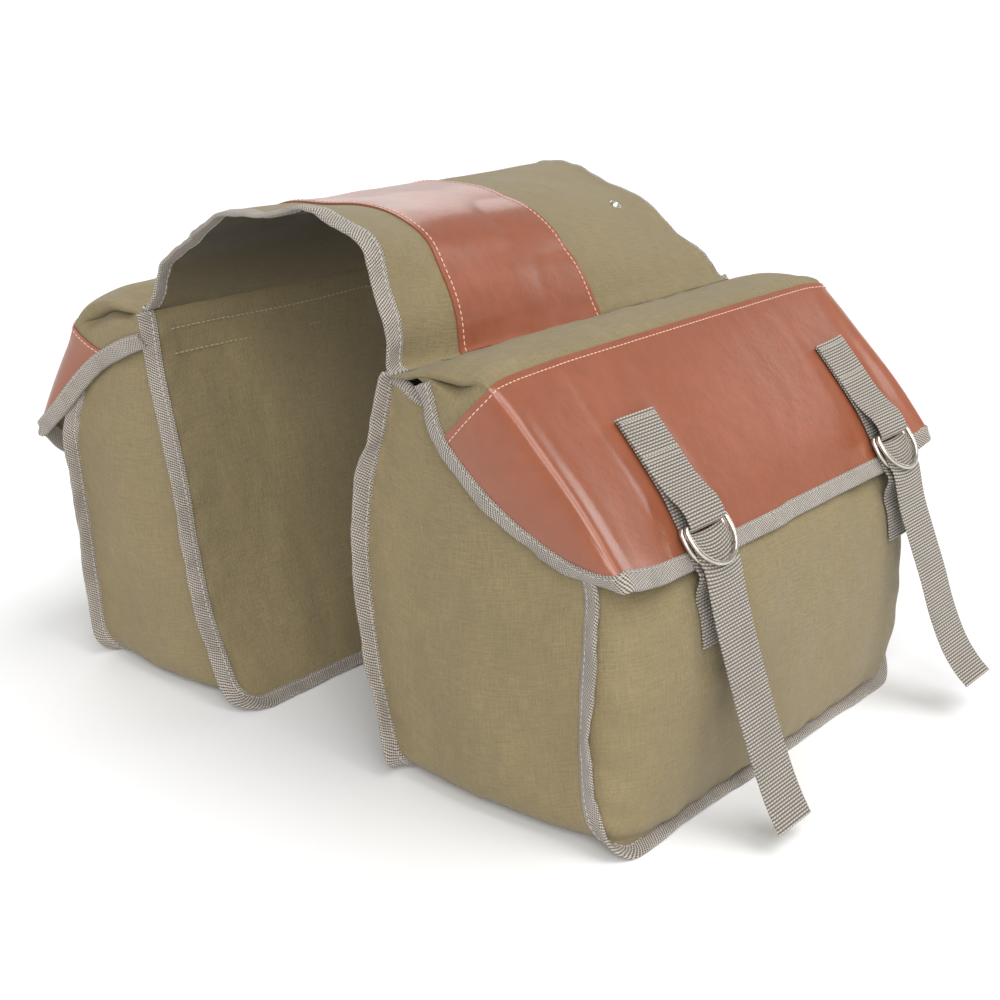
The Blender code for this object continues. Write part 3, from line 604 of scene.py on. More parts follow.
def webbing_material(name, light, dark):
    """Ribbed webbing: rows of short lumps, each row stepped half a lump from the last."""
    n = Nodes(name)
    u, v = n.uv()
    row = n.math("FLOOR", n.math("DIVIDE", v, RIB_PITCH))
    step = n.math("MULTIPLY", n.math("MODULO", row, 2.0), 0.5 * LUMP_PITCH)
    lump = n.sine(n.math("ADD", n.math("ADD", u, step), n.math("MULTIPLY", v, 0.35)), LUMP_PITCH)
    rib = n.sine(v, RIB_PITCH)
    fuzz = n.noise(n.uv_place(u, v, 0.8, 0.8), 1.0, 3.0, 0.7)
    tone = n.math("MULTIPLY", n.math("POWER", rib, 0.7), n.math("MULTIPLY_ADD", lump, 0.55, 0.45))
    tone = n.math("ADD", tone, n.math("MULTIPLY", n.math("SUBTRACT", fuzz, 0.5), 0.5))
    shade = n.mix(n.spread(tone, 0.12, 0.85), dark, light)
    dirt = n.noise(n.place(), 0.03, 4.0, 0.6)
    shade = n.mix(n.math("MULTIPLY", n.spread(dirt, 0.5, 0.8), 0.3), shade, darker(dark, 1.6))
    normal = n.bump(tone, 0.0009, 0.8)
    return n.finish(shade, n.spread(fuzz, -1.4, 1.2), normal, Sheen_Weight=0.15, Sheen_Roughness=0.5,
                    Specular_IOR_Level=0.3)


def thread_material(name, colour):
    """Twisted sewing thread."""
    n = Nodes(name)
    twist = n.noise(n.place(), 1.6, 2.0, 0.6)
    shade = n.mix(n.spread(twist, 0.3, 0.7), darker(colour, 0.7), colour)
    return n.finish(shade, n.spread(twist, -1.0, 1.2), n.bump(twist, 0.0004, 0.6), Sheen_Weight=0.2,
                    Specular_IOR_Level=0.4)


def nickel_material(name):
    """Bright nickel plate, faintly worn and hazed."""
    n = Nodes(name)
    haze = n.noise(n.place(), 0.12, 3.0, 0.6)
    wear = n.noise(n.place((1, 1, 0.4)), 0.5, 2.0, 0.6)
    shade = n.mix(n.spread(haze, 0.35, 0.75), (0.70, 0.66, 0.59), (0.56, 0.52, 0.45))
    roughness = n.math("MULTIPLY_ADD", n.spread(wear, 0.35, 0.8), 0.10, 0.27)
    return n.finish(shade, roughness, n.bump(wear, 0.0001, 0.12), Metallic=1.0)


def floor_material(name):
    """Matt pale board."""
    n = Nodes(name)
    mottle = n.noise(n.place(), 0.004, 3.0, 0.5)
    shade = n.mix(n.spread(mottle, 0.2, 0.8), (0.86, 0.86, 0.86), (0.88, 0.88, 0.88))
    return n.finish(shade, 0.85, n.bump(mottle, 0.0002, 0.1), Specular_IOR_Level=0.15)


CANVAS_COLOUR = (0.236, 0.187, 0.099)
LEATHER_COLOUR = (0.272, 0.084, 0.041)
MATERIALS = {
    "canvas": canvas_material("khaki_canvas", CANVAS_COLOUR),
    # The lining is the same canvas: its darker colour is painted shade inside the tunnel, with more painted
    # shade towards the top of the arch.
    "canvas_lining": canvas_material("khaki_canvas_inside_painted_shade", darker(CANVAS_COLOUR, 0.80), painted_shade_top=0.30),
    "leather": leather_material("orange_brown_leather", LEATHER_COLOUR),
    "binding_tape": tape_material("taupe_twill_tape", (0.56, 0.50, 0.43), (0.050, 0.042, 0.034)),
    "webbing": webbing_material("taupe_webbing", (0.53, 0.48, 0.41), (0.082, 0.069, 0.056)),
    "thread": thread_material("khaki_thread", (0.46, 0.38, 0.25)),
    "pink_thread": thread_material("rose_thread", (0.78, 0.47, 0.38)),
    "tape_thread": thread_material("taupe_thread", (0.52, 0.47, 0.41)),
    "nickel": nickel_material("bright_nickel"),
}


# ---------------------------------------------------------------- the bag's surfaces

def fullness(share):
    """How full a panel is at share of its half length: 1 over most of it, 0 at its ends."""
    return np.sqrt(np.clip(1 - np.abs(share) ** FULL_POWER, 0, 1))


def corner_path(top, count):
    """Round a pouch's seam, front top to rear top: places (y, z) and directions out of the gusset."""
    places = [(-HALF_LENGTH, top, -1, 0)]
    for end, radius in ((-1, FRONT_CORNER), (1, REAR_CORNER)):
        for k in range(17):
            turn = radians(90 * (16 - k) / 16) if end < 0 else radians(90 * k / 16)
            places.append((end * (HALF_LENGTH - radius + radius * sin(turn)),
                           BOTTOM + radius * (1 - cos(turn)), end * sin(turn), -cos(turn)))
    places.append((HALF_LENGTH, top, 1, 0))
    places = np.array(places, float)
    line, outward = resampled(places[:, :2], count, places[:, 2:])
    return line, unit(outward)


def end_y(z, end):
    """Place of a pouch panel's end at height z: round at the lower corners."""
    radius = FRONT_CORNER if end < 0 else REAR_CORNER
    drop = np.clip((BOTTOM + radius - np.asarray(z, float)) / radius, 0, 1)
    return end * (HALF_LENGTH - radius + radius * np.sqrt(1 - drop ** 2))


def along_panel(share, z):
    """Place fore and aft at share, from -1 to 1, of a panel's length at height z."""
    front = end_y(z, -1)
    rear = end_y(z, 1)
    return front + (rear - front) * 0.5 * (share + 1)


def at_height(profile, z):
    """Distance from the middle at height z on a smooth profile whose heights rise."""
    fine = spline(profile, np.linspace(0, 1, 240))
    return np.interp(z, fine[:, 1], fine[:, 0])


def near_straps(y, z, low, high):
    """1 under a closure strap and 0 away from it, between two heights."""
    under = 0
    for place in STRAP_Y.values():
        under = np.maximum(under, 1 - smoothstep(19, 30, np.abs(y - place)))
    return under * smoothstep(low - 10, low, z) * (1 - smoothstep(high, high + 10, z))


def front_panel_grid(side, seed):
    """Outer face of a pouch's front panel, full in the middle and puckered where it is sewn."""
    t = np.linspace(0, 1, FRONT_GRID[0])
    c = np.sin(0.5 * pi * np.linspace(-1, 1, FRONT_GRID[1]))
    edge = spline(side["edge"], t)[:, None]
    mid = spline(side["mid"], t)[:, None]
    place = edge + (mid - edge) * fullness(c)[None, :, None]
    y = along_panel(c[None], edge[..., 1])
    grid = np.stack([side["sign"] * place[..., 0], y, place[..., 1]], -1)
    normals = outward_normals(grid, (side["sign"], 0, 0.2))
    from_end = (1 - np.abs(c))[None] * HALF_LENGTH
    from_low = (t * 250)[:, None]
    free = smoothstep(0, 26, from_end) * smoothstep(0, 22, from_low)
    free = free * (1 - 0.8 * smoothstep(0.86, 1, t))[:, None]
    flat_points = np.stack(np.broadcast_arrays(c[None] * HALF_LENGTH, from_low), -1)
    swell = 3.3 * wrinkles(flat_points, np.array([78.0, 62.0]), seed)
    swell = swell + 1.3 * wrinkles(flat_points, np.array([30.0, 44.0]), seed + 9)
    ripple = 1.5 * puckers(flat_points[..., 1], from_end, 27, 20, seed + 20)
    ripple = ripple + 1.5 * puckers(flat_points[..., 0], from_low, 31, 20, seed + 21)
    ripple = ripple * smoothstep(0, 6, from_end) * smoothstep(0, 6, from_low)
    lift = swell * free + ripple
    pressed = near_straps(grid[..., 1], grid[..., 2], 96, 150)
    lift = lift * (1 - pressed) + np.minimum(lift, -0.3) * pressed
    return grid + lift[..., None] * normals


def outward_normals(grid, outward):
    """Unit normals of a grid, on the side that outward points to near its middle."""
    normals = grid_normals(grid)
    middle = normals[grid.shape[0] // 2, grid.shape[1] // 2]
    return -normals if middle @ np.asarray(outward, float) < 0 else normals


def back_panel_grid(side, seed):
    """The wall on the wheel side: it hangs in soft folds from the seam at its top."""
    top = side["hinge"][1] - 0.4
    z = np.linspace(BOTTOM, top, BACK_GRID[0])
    c = np.linspace(-1, 1, BACK_GRID[1])
    profile = side["back"] + [side["hinge"]]
    u = at_height(profile, z)[:, None] + 0 * c[None]
    y = along_panel(c[None], z[:, None])
    from_end = HALF_LENGTH * (1 - np.abs(c))[None]
    free = smoothstep(0, 30, from_end) * smoothstep(0, 24, z - BOTTOM)[:, None]
    free = free * smoothstep(0, 30, top - z)[:, None]
    flat_points = np.stack(np.broadcast_arrays(c[None] * HALF_LENGTH, z[:, None]), -1)
    lift = 3.4 * wrinkles(flat_points, np.array([64.0, 95.0]), seed) * free
    lift = lift + 1.1 * wrinkles(flat_points, np.array([24.0, 46.0]), seed + 4) * free
    ripple = 1.6 * puckers(flat_points[..., 1], from_end, 29, 17, seed + 5)
    ripple = ripple + 1.3 * puckers(flat_points[..., 0], z[:, None] - BOTTOM, 33, 16, seed + 6)
    lift = lift + ripple * smoothstep(0, 7, from_end) * smoothstep(0, 7, z - BOTTOM)[:, None]
    return np.stack([side["sign"] * (u + lift), y, np.broadcast_to(z[:, None], u.shape)], -1)


def mouth_dip(from_back):
    """Height of the gusset's top edge, which slopes down from the seam at the back panel."""
    return 5.0 - 9.0 * smoothstep(0, 26, from_back) + 4.0 * smoothstep(40, 90, from_back)


def gusset_grid(side, seed):
    """The strip down one end, along the bottom and up the other end, slightly full between its seams."""
    line, outward = corner_path(side["edge"][-1][1] + 1.0, GUSSET_GRID[0])
    y, z = line[:, 0], line[:, 1]
    inner = at_height(side["back"], z)[:, None]
    outer = at_height(side["edge"], z)[:, None]
    k = np.linspace(0, 1, GUSSET_GRID[1])[None]
    u = inner + (outer - inner) * k
    along = lengths_along(line)[:, None]
    flat_points = np.stack(np.broadcast_arrays(u, along), -1)
    from_seam = np.minimum(k, 1 - k) * (outer - inner)
    free = smoothstep(0, 24, from_seam)
    standing = smoothstep(0.3, 0.8, np.abs(outward[:, :1]))
    low_side = (1 - smoothstep(120, 190, z))[:, None]
    bulge = np.sin(pi * k) ** 1.3 * (1.2 + 3.6 * standing * low_side)
    rumple = 2.9 * wrinkles(flat_points, np.array([48.0, 66.0]), seed)
    rumple = rumple + 1.2 * wrinkles(flat_points, np.array([20.0, 34.0]), seed + 3)
    lift = bulge + free * rumple * (0.5 + 0.5 * low_side)
    ripple = 1.4 * puckers(along + 0 * k, from_seam, 25, 15, seed + 7) * smoothstep(0, 6, from_seam)
    lift = lift + ripple
    lift = np.where(standing > 0.5, lift, np.minimum(lift, 2.6) * 0.8)
    height = z[:, None] + mouth_dip(u - inner) * smoothstep(205, line[0, 1], z)[:, None]
    base = np.stack([side["sign"] * u, np.broadcast_to(y[:, None], u.shape), height], -1)
    direction = np.stack([0 * y, outward[:, 0], outward[:, 1]], -1)[:, None]
    return base + lift[..., None] * direction


def saddle_surface(seed):
    """Upper face of the saddle sheet: its rows run fore and aft, from the left seam to the right one."""
    t = np.linspace(0, 1, SADDLE_GRID[0])
    y = np.linspace(-HALF_LENGTH, HALF_LENGTH, SADDLE_GRID[1])
    front = spline(SADDLE_FRONT, t)[:, None]
    rear = spline(SADDLE_REAR, t)[:, None]
    share = ((y + HALF_LENGTH) / (2 * HALF_LENGTH))[None, :, None]
    place = front + (rear - front) * share
    grid = np.stack([place[..., 0], np.broadcast_to(y[None], place.shape[:2]), place[..., 1]], -1)
    normals = outward_normals(grid, (0, 0, 1))
    along = SADDLE_SPREAD * t[:, None]
    from_front = (y + HALF_LENGTH)[None]
    from_rear = (HALF_LENGTH - y)[None]
    ends = smoothstep(0, 0.12, t)[:, None] * smoothstep(0, 0.12, 1 - t)[:, None]
    flat_points = np.stack(np.broadcast_arrays(along, y[None]), -1)
    lift = 2.8 * wrinkles(flat_points, np.array([95.0, 80.0]), seed)
    lift = lift + 3.0 * puckers(along + 0 * y, from_front + 0 * along, 74, 46, seed + 5)
    lift = lift + 2.6 * puckers(along + 0 * y, from_rear + 0 * along, 88, 40, seed + 6)
    lift = lift + 0.4 * puckers(along + 0 * y, np.minimum(from_front, from_rear) + 0 * along, 23, 9, seed + 7)
    from_seam = np.minimum(t, 1 - t)[:, None] * SADDLE_SPREAD
    ripple = 1.6 * puckers(flat_points[..., 1], from_seam + 0 * y, 36, 20, seed + 8)
    ripple = ripple * smoothstep(0, 8, from_seam)
    return grid + ((lift * ends) + ripple)[..., None] * normals


def flap_fullness(share, t, y):
    """How far a flap's surface is from the ridges at its ends (0) to its middle's profile (1).

    The top is boxy.  The leather draws in more gently, and lies flat under the straps that hold it in.
    """
    boxy = fullness(share)
    under_strap = 0
    for place in STRAP_Y.values():
        under_strap = np.maximum(under_strap, 1 - smoothstep(18, 36, np.abs(y - place)))
    gentle = 1 - np.where(share < 0, np.abs(share) ** 3.6, np.abs(share) ** 9) * (1 - under_strap)
    weight = smoothstep(FOLD - 0.05, FOLD + 0.10, t)
    return boxy * (1 - weight) + gentle * weight


def hem_drop(y, side):
    """How far the hem hangs below the flap profiles' ends: cut away at the ends, lowest near the front."""
    from_end = FLAP_END - np.abs(y)
    rise = np.clip(from_end / 48.0, 0, 1)
    level = np.where(y < 0, 6.0, 5.0)
    slack = 29.0 * np.exp(-((from_end - 36.0) / 29.0) ** 2) * (side["sign"] < 0) * (y < 0)
    return (level + slack) * (1 - (1 - rise) ** 2.2)


def rounded_ridge(grid, ridge, weight, reach=4.4):
    """Rounds the corner that a grid turns at one of its columns, as stiff leather does when it folds."""
    before = unit(grid[:, ridge - 14] - grid[:, ridge])
    after = unit(grid[:, ridge + 6] - grid[:, ridge])
    inward = 0.5 * (before + after)
    along = np.array([lengths_along(row) for row in grid])
    away = np.abs(along - along[:, ridge:ridge + 1])
    depth = (np.sqrt(away ** 2 + reach ** 2) - away) * (1 - smoothstep(14, 26, away))
    return grid + (depth * weight[:, None])[..., None] * inward[:, None]


def flap_surface(side, seed):
    """Middle surface of a closed flap, seam to hem, with its front and rear ends hanging over the gusset.

    The top is drawn over the hanging ends in a small tucked fold that dies out where the leather starts.
    """
    t = np.linspace(0, 1, FLAP_GRID[0])
    sign = side["sign"]
    edge = spline(side["flap_ridge"], t)
    mid = spline(side["flap_mid"], t)
    tuck = (1 - smoothstep(0.40, FOLD, t)) * smoothstep(0.0, 0.16, t)
    tip = spline(side["flap_tip"], np.interp(t, (0, FOLD, 1), (0, TIP_FOLD, 1)))
    c = np.sin(0.5 * pi * np.linspace(-1, 1, FLAP_GRID[1]))
    full = flap_fullness(c[None], t[:, None], c[None] * FLAP_END)
    place = edge[:, None] + (mid - edge)[:, None] * full[..., None]
    y = np.broadcast_to(c[None] * FLAP_END, place.shape[:2]).copy()
    y = y + np.sign(y) * 2.5 * tuck[:, None] * smoothstep(0.90, 1.0, np.abs(c))[None]
    lower = unit(place[-1] - place[-12])[None]
    place = place + (hem_drop(y[-1], side) * smoothstep(0.72, 1.0, t)[:, None])[..., None] * lower
    top = np.stack([sign * place[..., 0], y, place[..., 1]], -1)
    normals = outward_normals(top, (sign, 0, 1))
    flat_points = np.stack(np.broadcast_arrays(c[None] * FLAP_END, FLAP_SPREAD * t[:, None]), -1)
    from_end = (1 - np.abs(c))[None] * FLAP_END
    soft = smoothstep(0.02, 0.16, t) * (1 - smoothstep(FOLD - 0.10, FOLD, t))
    over = smoothstep(FOLD, FOLD + 0.15, t) * (1 - 0.6 * smoothstep(0.9, 1.0, t))
    hold = smoothstep(0, 16, from_end)
    lift = 2.6 * wrinkles(flat_points, np.array([70.0, 34.0]), seed) * soft[:, None] * hold
    gathers = puckers(flat_points[..., 0], 0 * from_end + 12 * (t[:, None] / 0.2), 26, 12, seed + 2)
    lift = lift + 1.5 * gathers * smoothstep(0.0, 0.1, t)[:, None] * hold
    lift = lift + 2.2 * noise(flat_points, np.array([110.0, 90.0]), seed + 3) * over[:, None] * hold
    pressed = near_straps(top[..., 1], np.where(t[:, None] > FOLD, 100.0, 0.0) + 0 * top[..., 1], 90, 150)
    lift = lift * (1 - pressed) + np.minimum(lift, 0) * 0.25 * pressed
    top = top + lift[..., None] * normals

    def hanging(end):
        """The roll at the top's end, then the hanging part down to the tip: columns run outwards."""
        start = top[:, 0] if end < 0 else top[:, -1]
        columns = []
        down = unit(np.stack([tip[:, 0] - edge[:, 0], tip[:, 1] - edge[:, 1]], -1))
        reach = np.linalg.norm(tip - edge, axis=1)
        for k in range(1, ROLL_STEPS + 1):
            turn = pi * k / ROLL_STEPS
            drop = tuck * ROLL_RADIUS * (1 - cos(turn)) + ROLL_SHARE * reach * k / ROLL_STEPS
            out = tuck * (ROLL_RADIUS * sin(turn) - ROLL_TUCK * turn / pi)
            columns.append(np.stack([start[:, 0] + sign * down[:, 0] * drop, start[:, 1] + end * out,
                                     start[:, 2] + down[:, 1] * drop], -1))
        rolled = columns[-1]
        for k in range(1, HANGING_STEPS + 1):
            share = ROLL_SHARE + (1 - ROLL_SHARE) * k / HANGING_STEPS
            place_u = sign * (edge[:, 0] + (tip[:, 0] - edge[:, 0]) * share)
            place_z = edge[:, 1] + (tip[:, 1] - edge[:, 1]) * share
            flare = 2.2 * sin(pi * k / HANGING_STEPS) - 0.8 * k / HANGING_STEPS
            wave = noise(np.stack([FLAP_SPREAD * t, 0 * t], -1), 42.0, seed + 11 + end)
            wave = 1.6 * k / HANGING_STEPS * wave
            place_y = end * (FLAP_END + flare * smoothstep(0, 20, reach) + wave)
            target = np.stack([place_u, place_y, place_z], -1)
            join = 1 - smoothstep(ROLL_SHARE, 0.45, share)
            corner_u = edge[:, 0] + (tip[:, 0] - edge[:, 0]) * ROLL_SHARE
            corner_z = edge[:, 1] + (tip[:, 1] - edge[:, 1]) * ROLL_SHARE
            offset = rolled - np.stack([sign * corner_u, end * FLAP_END + 0 * t, corner_z], -1)
            columns.append(target + join * offset)
        return columns

    front = hanging(-1)
    rear = hanging(1)
    grid = np.concatenate([np.stack(front[::-1], 1), top, np.stack(rear, 1)], axis=1)
    leather = smoothstep(FOLD - 0.04, FOLD + 0.04, t)
    grid = rounded_ridge(grid, len(front), leather)
    flipped = rounded_ridge(grid[:, ::-1], len(rear), leather)
    return flipped[:, ::-1]


# ---------------------------------------------------------------- straps

def leather_line(side, y):
    """The closed flap's leather surface at y, as (distance from the middle, height), fold to hem."""
    share = float(fullness(np.array(y / FLAP_END)))
    count, first = LEATHER_LINE
    places = np.linspace(0, 1, count)
    edge = spline(side["flap_edge"], places)
    mid = spline(side["flap_mid"], places)
    line = (edge + (mid - edge) * share)[first:]
    ahead = unit(np.gradient(line, axis=0))
    lifted = line + 2.6 * np.stack([-ahead[:, 1], ahead[:, 0]], -1)
    end = unit(line[-1] - line[-3])
    return np.concatenate([lifted, [lifted[-1] + HEM_TAPE * end, lifted[-1] + 4 * HEM_TAPE * end]])


def on_leather(line, sign, y, along, lift):
    """Place over the leather: along runs down the flap and is zero at the hem's lower edge."""
    lengths = lengths_along(line)
    target = lengths[-2] + along
    k = int(np.clip(np.searchsorted(lengths, target) - 1, 0, len(line) - 2))
    ahead = unit(line[k + 1] - line[k])
    point = line[k] + (target - lengths[k]) * ahead + lift * np.array([-ahead[1], ahead[0]])
    return np.array([sign * point[0], y, point[1]])


def outermost_line(side, y):
    """The fullest line of the leather under a strap."""
    places = y + WEBBING_WIDTH * np.linspace(-0.5, 0.5, 5)
    return max((leather_line(side, place) for place in places), key=lambda line: line[-2][0])


def strap_piece(name, lines, body, node):
    """Webbing from its lines of points: ribs stand across it, and its woven edges are scalloped."""
    controls = np.array(lines).transpose(1, 0, 2)
    fine = spline(controls, np.linspace(0, 1, 400))
    middle = fine[:, ACROSS // 2]
    length = lengths_along(middle)[-1]
    count = int(length / RIB_PITCH * 6)
    lengths = lengths_along(middle)
    even = np.linspace(0, length, count)
    grid = np.stack([at_places(even, lengths, fine[:, j]) for j in range(ACROSS)], 1)
    ahead = unit(np.gradient(grid[:, ACROSS // 2], axis=0))
    normals = unit(np.stack([-ahead[:, 2], 0 * ahead[:, 0], ahead[:, 0]], -1))[:, None]
    rib = 0.5 + 0.5 * np.sin(2 * pi * even / RIB_PITCH)
    across = np.linspace(-0.5, 0.5, ACROSS)
    centre_y = grid[:, ACROSS // 2, 1][:, None]
    scallop = 1 + 0.014 * (rib[:, None] - 0.5) * (np.abs(across) > 0.45)
    grid[..., 1] = centre_y + (grid[..., 1] - centre_y) * scallop
    thin = 1 - 0.45 * (np.abs(across) > 0.49) - 0.12 * (np.abs(across) > 0.42)
    half = 0.5 * (WEBBING_THICKNESS - 0.28 + 0.34 * rib[:, None]) * thin
    outer = grid + half[..., None] * normals
    inner = grid - half[..., None] * normals
    loop = np.concatenate([outer, inner[:, ::-1]], axis=1)
    rows, columns = loop.shape[:2]
    faces, i, j, after = tube_faces(rows, columns)
    flat_u = np.concatenate([across, across[::-1]]) * WEBBING_WIDTH
    uvs = tube_uvs(flat_u, even, i, j, after)
    normal = np.cross(loop[1, 8] - loop[0, 8], loop[0, 9] - loop[0, 8])
    flip = normal @ normals[0, 0] > 0
    if flip:
        faces = faces[..., ::-1]
        uvs = uvs[..., ::-1, :]
    caps = tube_caps(rows, columns, flip)
    cap_uvs = [(flat_u[k % columns], 0.0) for cap in caps for k in cap]
    piece = finished(name, loop.reshape(-1, 3), list(faces.reshape(-1, 4)) + caps, MATERIALS["webbing"], body,
                     uvs=np.concatenate([uvs.reshape(-1, 2), cap_uvs]), slot="webbing", replaces=(node,),
                     sharp=70)


def flap_strap(label, side, y, body):
    """Webbing sewn on the leather, folded back round the bars of the two rings."""
    low = 0.4
    thickness = 1.1
    under = low + 0.5 * thickness
    over = OUTER_BAR_OUT + RING_WIRE + 0.35 + 0.5 * thickness
    loop = [(-88, under + thickness + 0.15), (-66, under + thickness + 0.15), (-46, under + thickness + 0.6),
            (-36, 0.52 * over), (-29, 0.85 * over), (-23, over), (BAR_ALONG, over)]
    middle = 0.5 * (under + over)
    reach = 0.5 * (over - under)
    for k in range(1, 6):
        angle = pi * k / 6
        loop.append((BAR_ALONG + 0.75 * reach * sin(angle), middle + reach * cos(angle)))
    loop += [(BAR_ALONG, under), (-36, under), (-46, under), (-66, under), (-88, under)]
    straight = outermost_line(side, y)
    lines = []
    for place in y + WEBBING_WIDTH * np.linspace(-0.5, 0.5, ACROSS):
        own = leather_line(side, place)
        line = []
        for along, lift in loop:
            share = min(1.0, max(0.0, (along + 60) / 30))
            flat = on_leather(straight, side["sign"], place, along, lift)
            line.append((1 - share) * on_leather(own, side["sign"], place, along, lift) + share * flat)
        lines.append(line)
    strap_piece("strap_on_" + label, lines, body, label)
    top = under + 1.5 * thickness + 0.3
    for along in (-84.5, -62.0, -58.5):
        places = y + 17.0 * np.linspace(-1, 1, 12)
        path = np.array([on_leather(leather_line(side, place), side["sign"], place, along, top)
                         for place in places])
        up = np.repeat([[side["sign"] * 0.75, 0, 0.66]], len(path), axis=0)
        stitches(f"stitches_{label}_{abs(along):.0f}", path, up, MATERIALS["tape_thread"], body, pitch=2.6,
                 length=1.9, radius=0.36, slot="webbing")


def closure_strap(label, side, y, tail, body):
    """Webbing sewn to the pouch, threaded round the inner ring's bow, ending in a free tail."""
    sign = side["sign"]
    straight = outermost_line(side, y)
    under = y + WEBBING_WIDTH * np.linspace(-0.5, 0.5, 5)
    share = float(fullness(under / HALF_LENGTH).max())
    hem = on_leather(straight, sign, y, 0, 0)
    lines = []
    for place in y + WEBBING_WIDTH * np.linspace(-0.5, 0.5, ACROSS):
        line = []
        for height in ANCHOR_HEIGHTS:
            edge = at_height(side["edge"], height)
            mid = at_height(side["mid"], height)
            line.append((sign * (edge + (mid - edge) * share + 1.0), place, height))
        across = 0.7 * (place - y)
        sag = RING_HALF_WIDTH - (RING_HALF_WIDTH ** 2 - across ** 2) ** 0.5
        for (along, lift), pull in zip(STRAP_THREADED, THREADED_PULL):
            line.append(tuple(on_leather(straight, sign, place, along - pull * sag, lift)))
        for u, z in tail:
            line.append((hem[0] + sign * u, place, hem[2] + z))
        lines.append(line)
    strap_piece("strap_of_" + label, lines, body, label)


# ---------------------------------------------------------------- pieces of the bag

def wavy_tape(name, path, side, up, body, seed, slot_node, width_in=6.0, width_out=4.0, wave=1.2, droop=0.8,
              thickness=TAPE_THICKNESS, stitch_at=None, calm=None):
    """Binding tape folded over an edge.  side points out of the edge and up is the sheet's outward face.

    The tape waves in and out of the sheet's plane, more towards its outer fold, and is a little uneven.
    """
    lengths = lengths_along(path)
    places = np.stack([lengths, 0 * lengths], -1)
    rock = sum(share * noise(places, size, seed + more)
               for share, size, more in ((1.0, 26.0, 0), (0.6, 11.0, 1), (0.3, 5.0, 4)))
    rock = wave * rock * (calm if calm is not None else 1.0)
    grow = droop * noise(places, 34.0, seed + 2)
    base = rounded_strip(width_in, width_out, thickness)
    section = np.repeat(base[None], len(path), axis=0)
    outer = smoothstep(-width_in, width_out, base[:, 0])
    section[..., 0] += grow[:, None] * outer[None]
    section[..., 1] += rock[:, None] * outer[None] ** 1.5
    plump = 1 + 0.16 * noise(places, 8.0, seed + 3)
    section[..., 1] *= plump[:, None]
    piece = sweep(name, path, side, up, section, MATERIALS["binding_tape"], body, slot="binding_tape",
                  replaces=slot_node)
    at = -0.62 * width_in if stitch_at is None else stitch_at
    share = float(smoothstep(-width_in, width_out, at)) ** 1.5
    for face, label in ((1, "outer"), (-1, "inner")):
        offset = (face * 0.5 * thickness * 0.93 * plump + rock * share)[:, None]
        row = path + at * side + offset * up
        stitches(f"stitches_{label}_{name}", row, face * up, MATERIALS["tape_thread"], body, pitch=4.0,
                 length=2.9, radius=0.36, slot="binding_tape")
    return piece


def build_saddle():
    """The saddle sheet with its lining, leather band and bound edges: gives its surface and normals."""
    outer = saddle_surface(3)
    canvas = sheet("saddle_sheet", outer, CANVAS, MATERIALS["canvas"], "saddle", (0, 0, 1), slot="canvas",
                   replaces=("saddle_panel",))
    under = outer[:, 3:-3:2]
    lining = sheet("saddle_sheet_lining", under, LINING, MATERIALS["canvas_lining"], "saddle", (0, 0, 1),
                   offset=-LINING_DEPTH, slot="canvas_lining", replaces=("saddle_lining",))
    normals = outward_normals(outer, (0, 0, 1))
    y = outer[0, :, 1]
    keep = (y >= PATCH_FRONT_Y) & (y <= PATCH_REAR_Y)
    patch = outer[3:-3, keep]
    patch_normals = normals[3:-3, keep]
    leather = sheet("saddle_leather", patch, LEATHER, MATERIALS["leather"], "saddle", (0, 0, 1),
                    offset=LEATHER + 0.15, normals=patch_normals, slot="leather",
                    replaces=("saddle_leather_patch",))
    for name, column in (("front", 2), ("rear", -3)):
        up = patch_normals[:, column]
        stitches("stitches_saddle_leather_" + name, patch[:, column] + (LEATHER + 0.2) * up, up,
                 MATERIALS["pink_thread"], "saddle", slot="leather")
    for name, column, direction, seed, inside, outside, turn, stitch_at in SADDLE_TAPES:
        path, up = resampled(outer[:, column], 330, normals[:, column])
        up = unit(up)
        level = np.repeat([[0.0, direction, 0.0]], len(path), axis=0)
        side = cos(radians(turn)) * level - sin(radians(turn)) * up
        face = cos(radians(turn)) * up + sin(radians(turn)) * level
        wavy_tape("saddle_edge_tape_" + name, path - 0.9 * up, side, face, "saddle", seed,
                               ("saddle_binding_" + name,), width_in=inside, width_out=outside, wave=1.1,
                               droop=0.9, stitch_at=stitch_at)
    return outer, normals


def build_pouch(name, side, seed):
    """One pouch: its three panels, its bound seams and its bound mouth."""
    body = "pouch_" + name
    sign = side["sign"]
    canvas = MATERIALS["canvas"]
    front = front_panel_grid(side, seed)
    back = back_panel_grid(side, seed + 40)
    gusset = gusset_grid(side, seed + 80)
    for piece, node, grid, outward in (("pouch_front_", "front_panel_", front, (sign, 0, 0.2)),
                                       ("pouch_back_", "back_panel_", back, (-sign, 0, 0)),
                                       ("pouch_gusset_", "gusset_", gusset, (0, 0, -1))):
        made = sheet(piece + name, grid, CANVAS, canvas, body, outward, slot="canvas",
                     replaces=(node + name,))
    seam_tapes(name, side, body, seed)
    mouth_tape(name, side, body, seed, front, gusset)


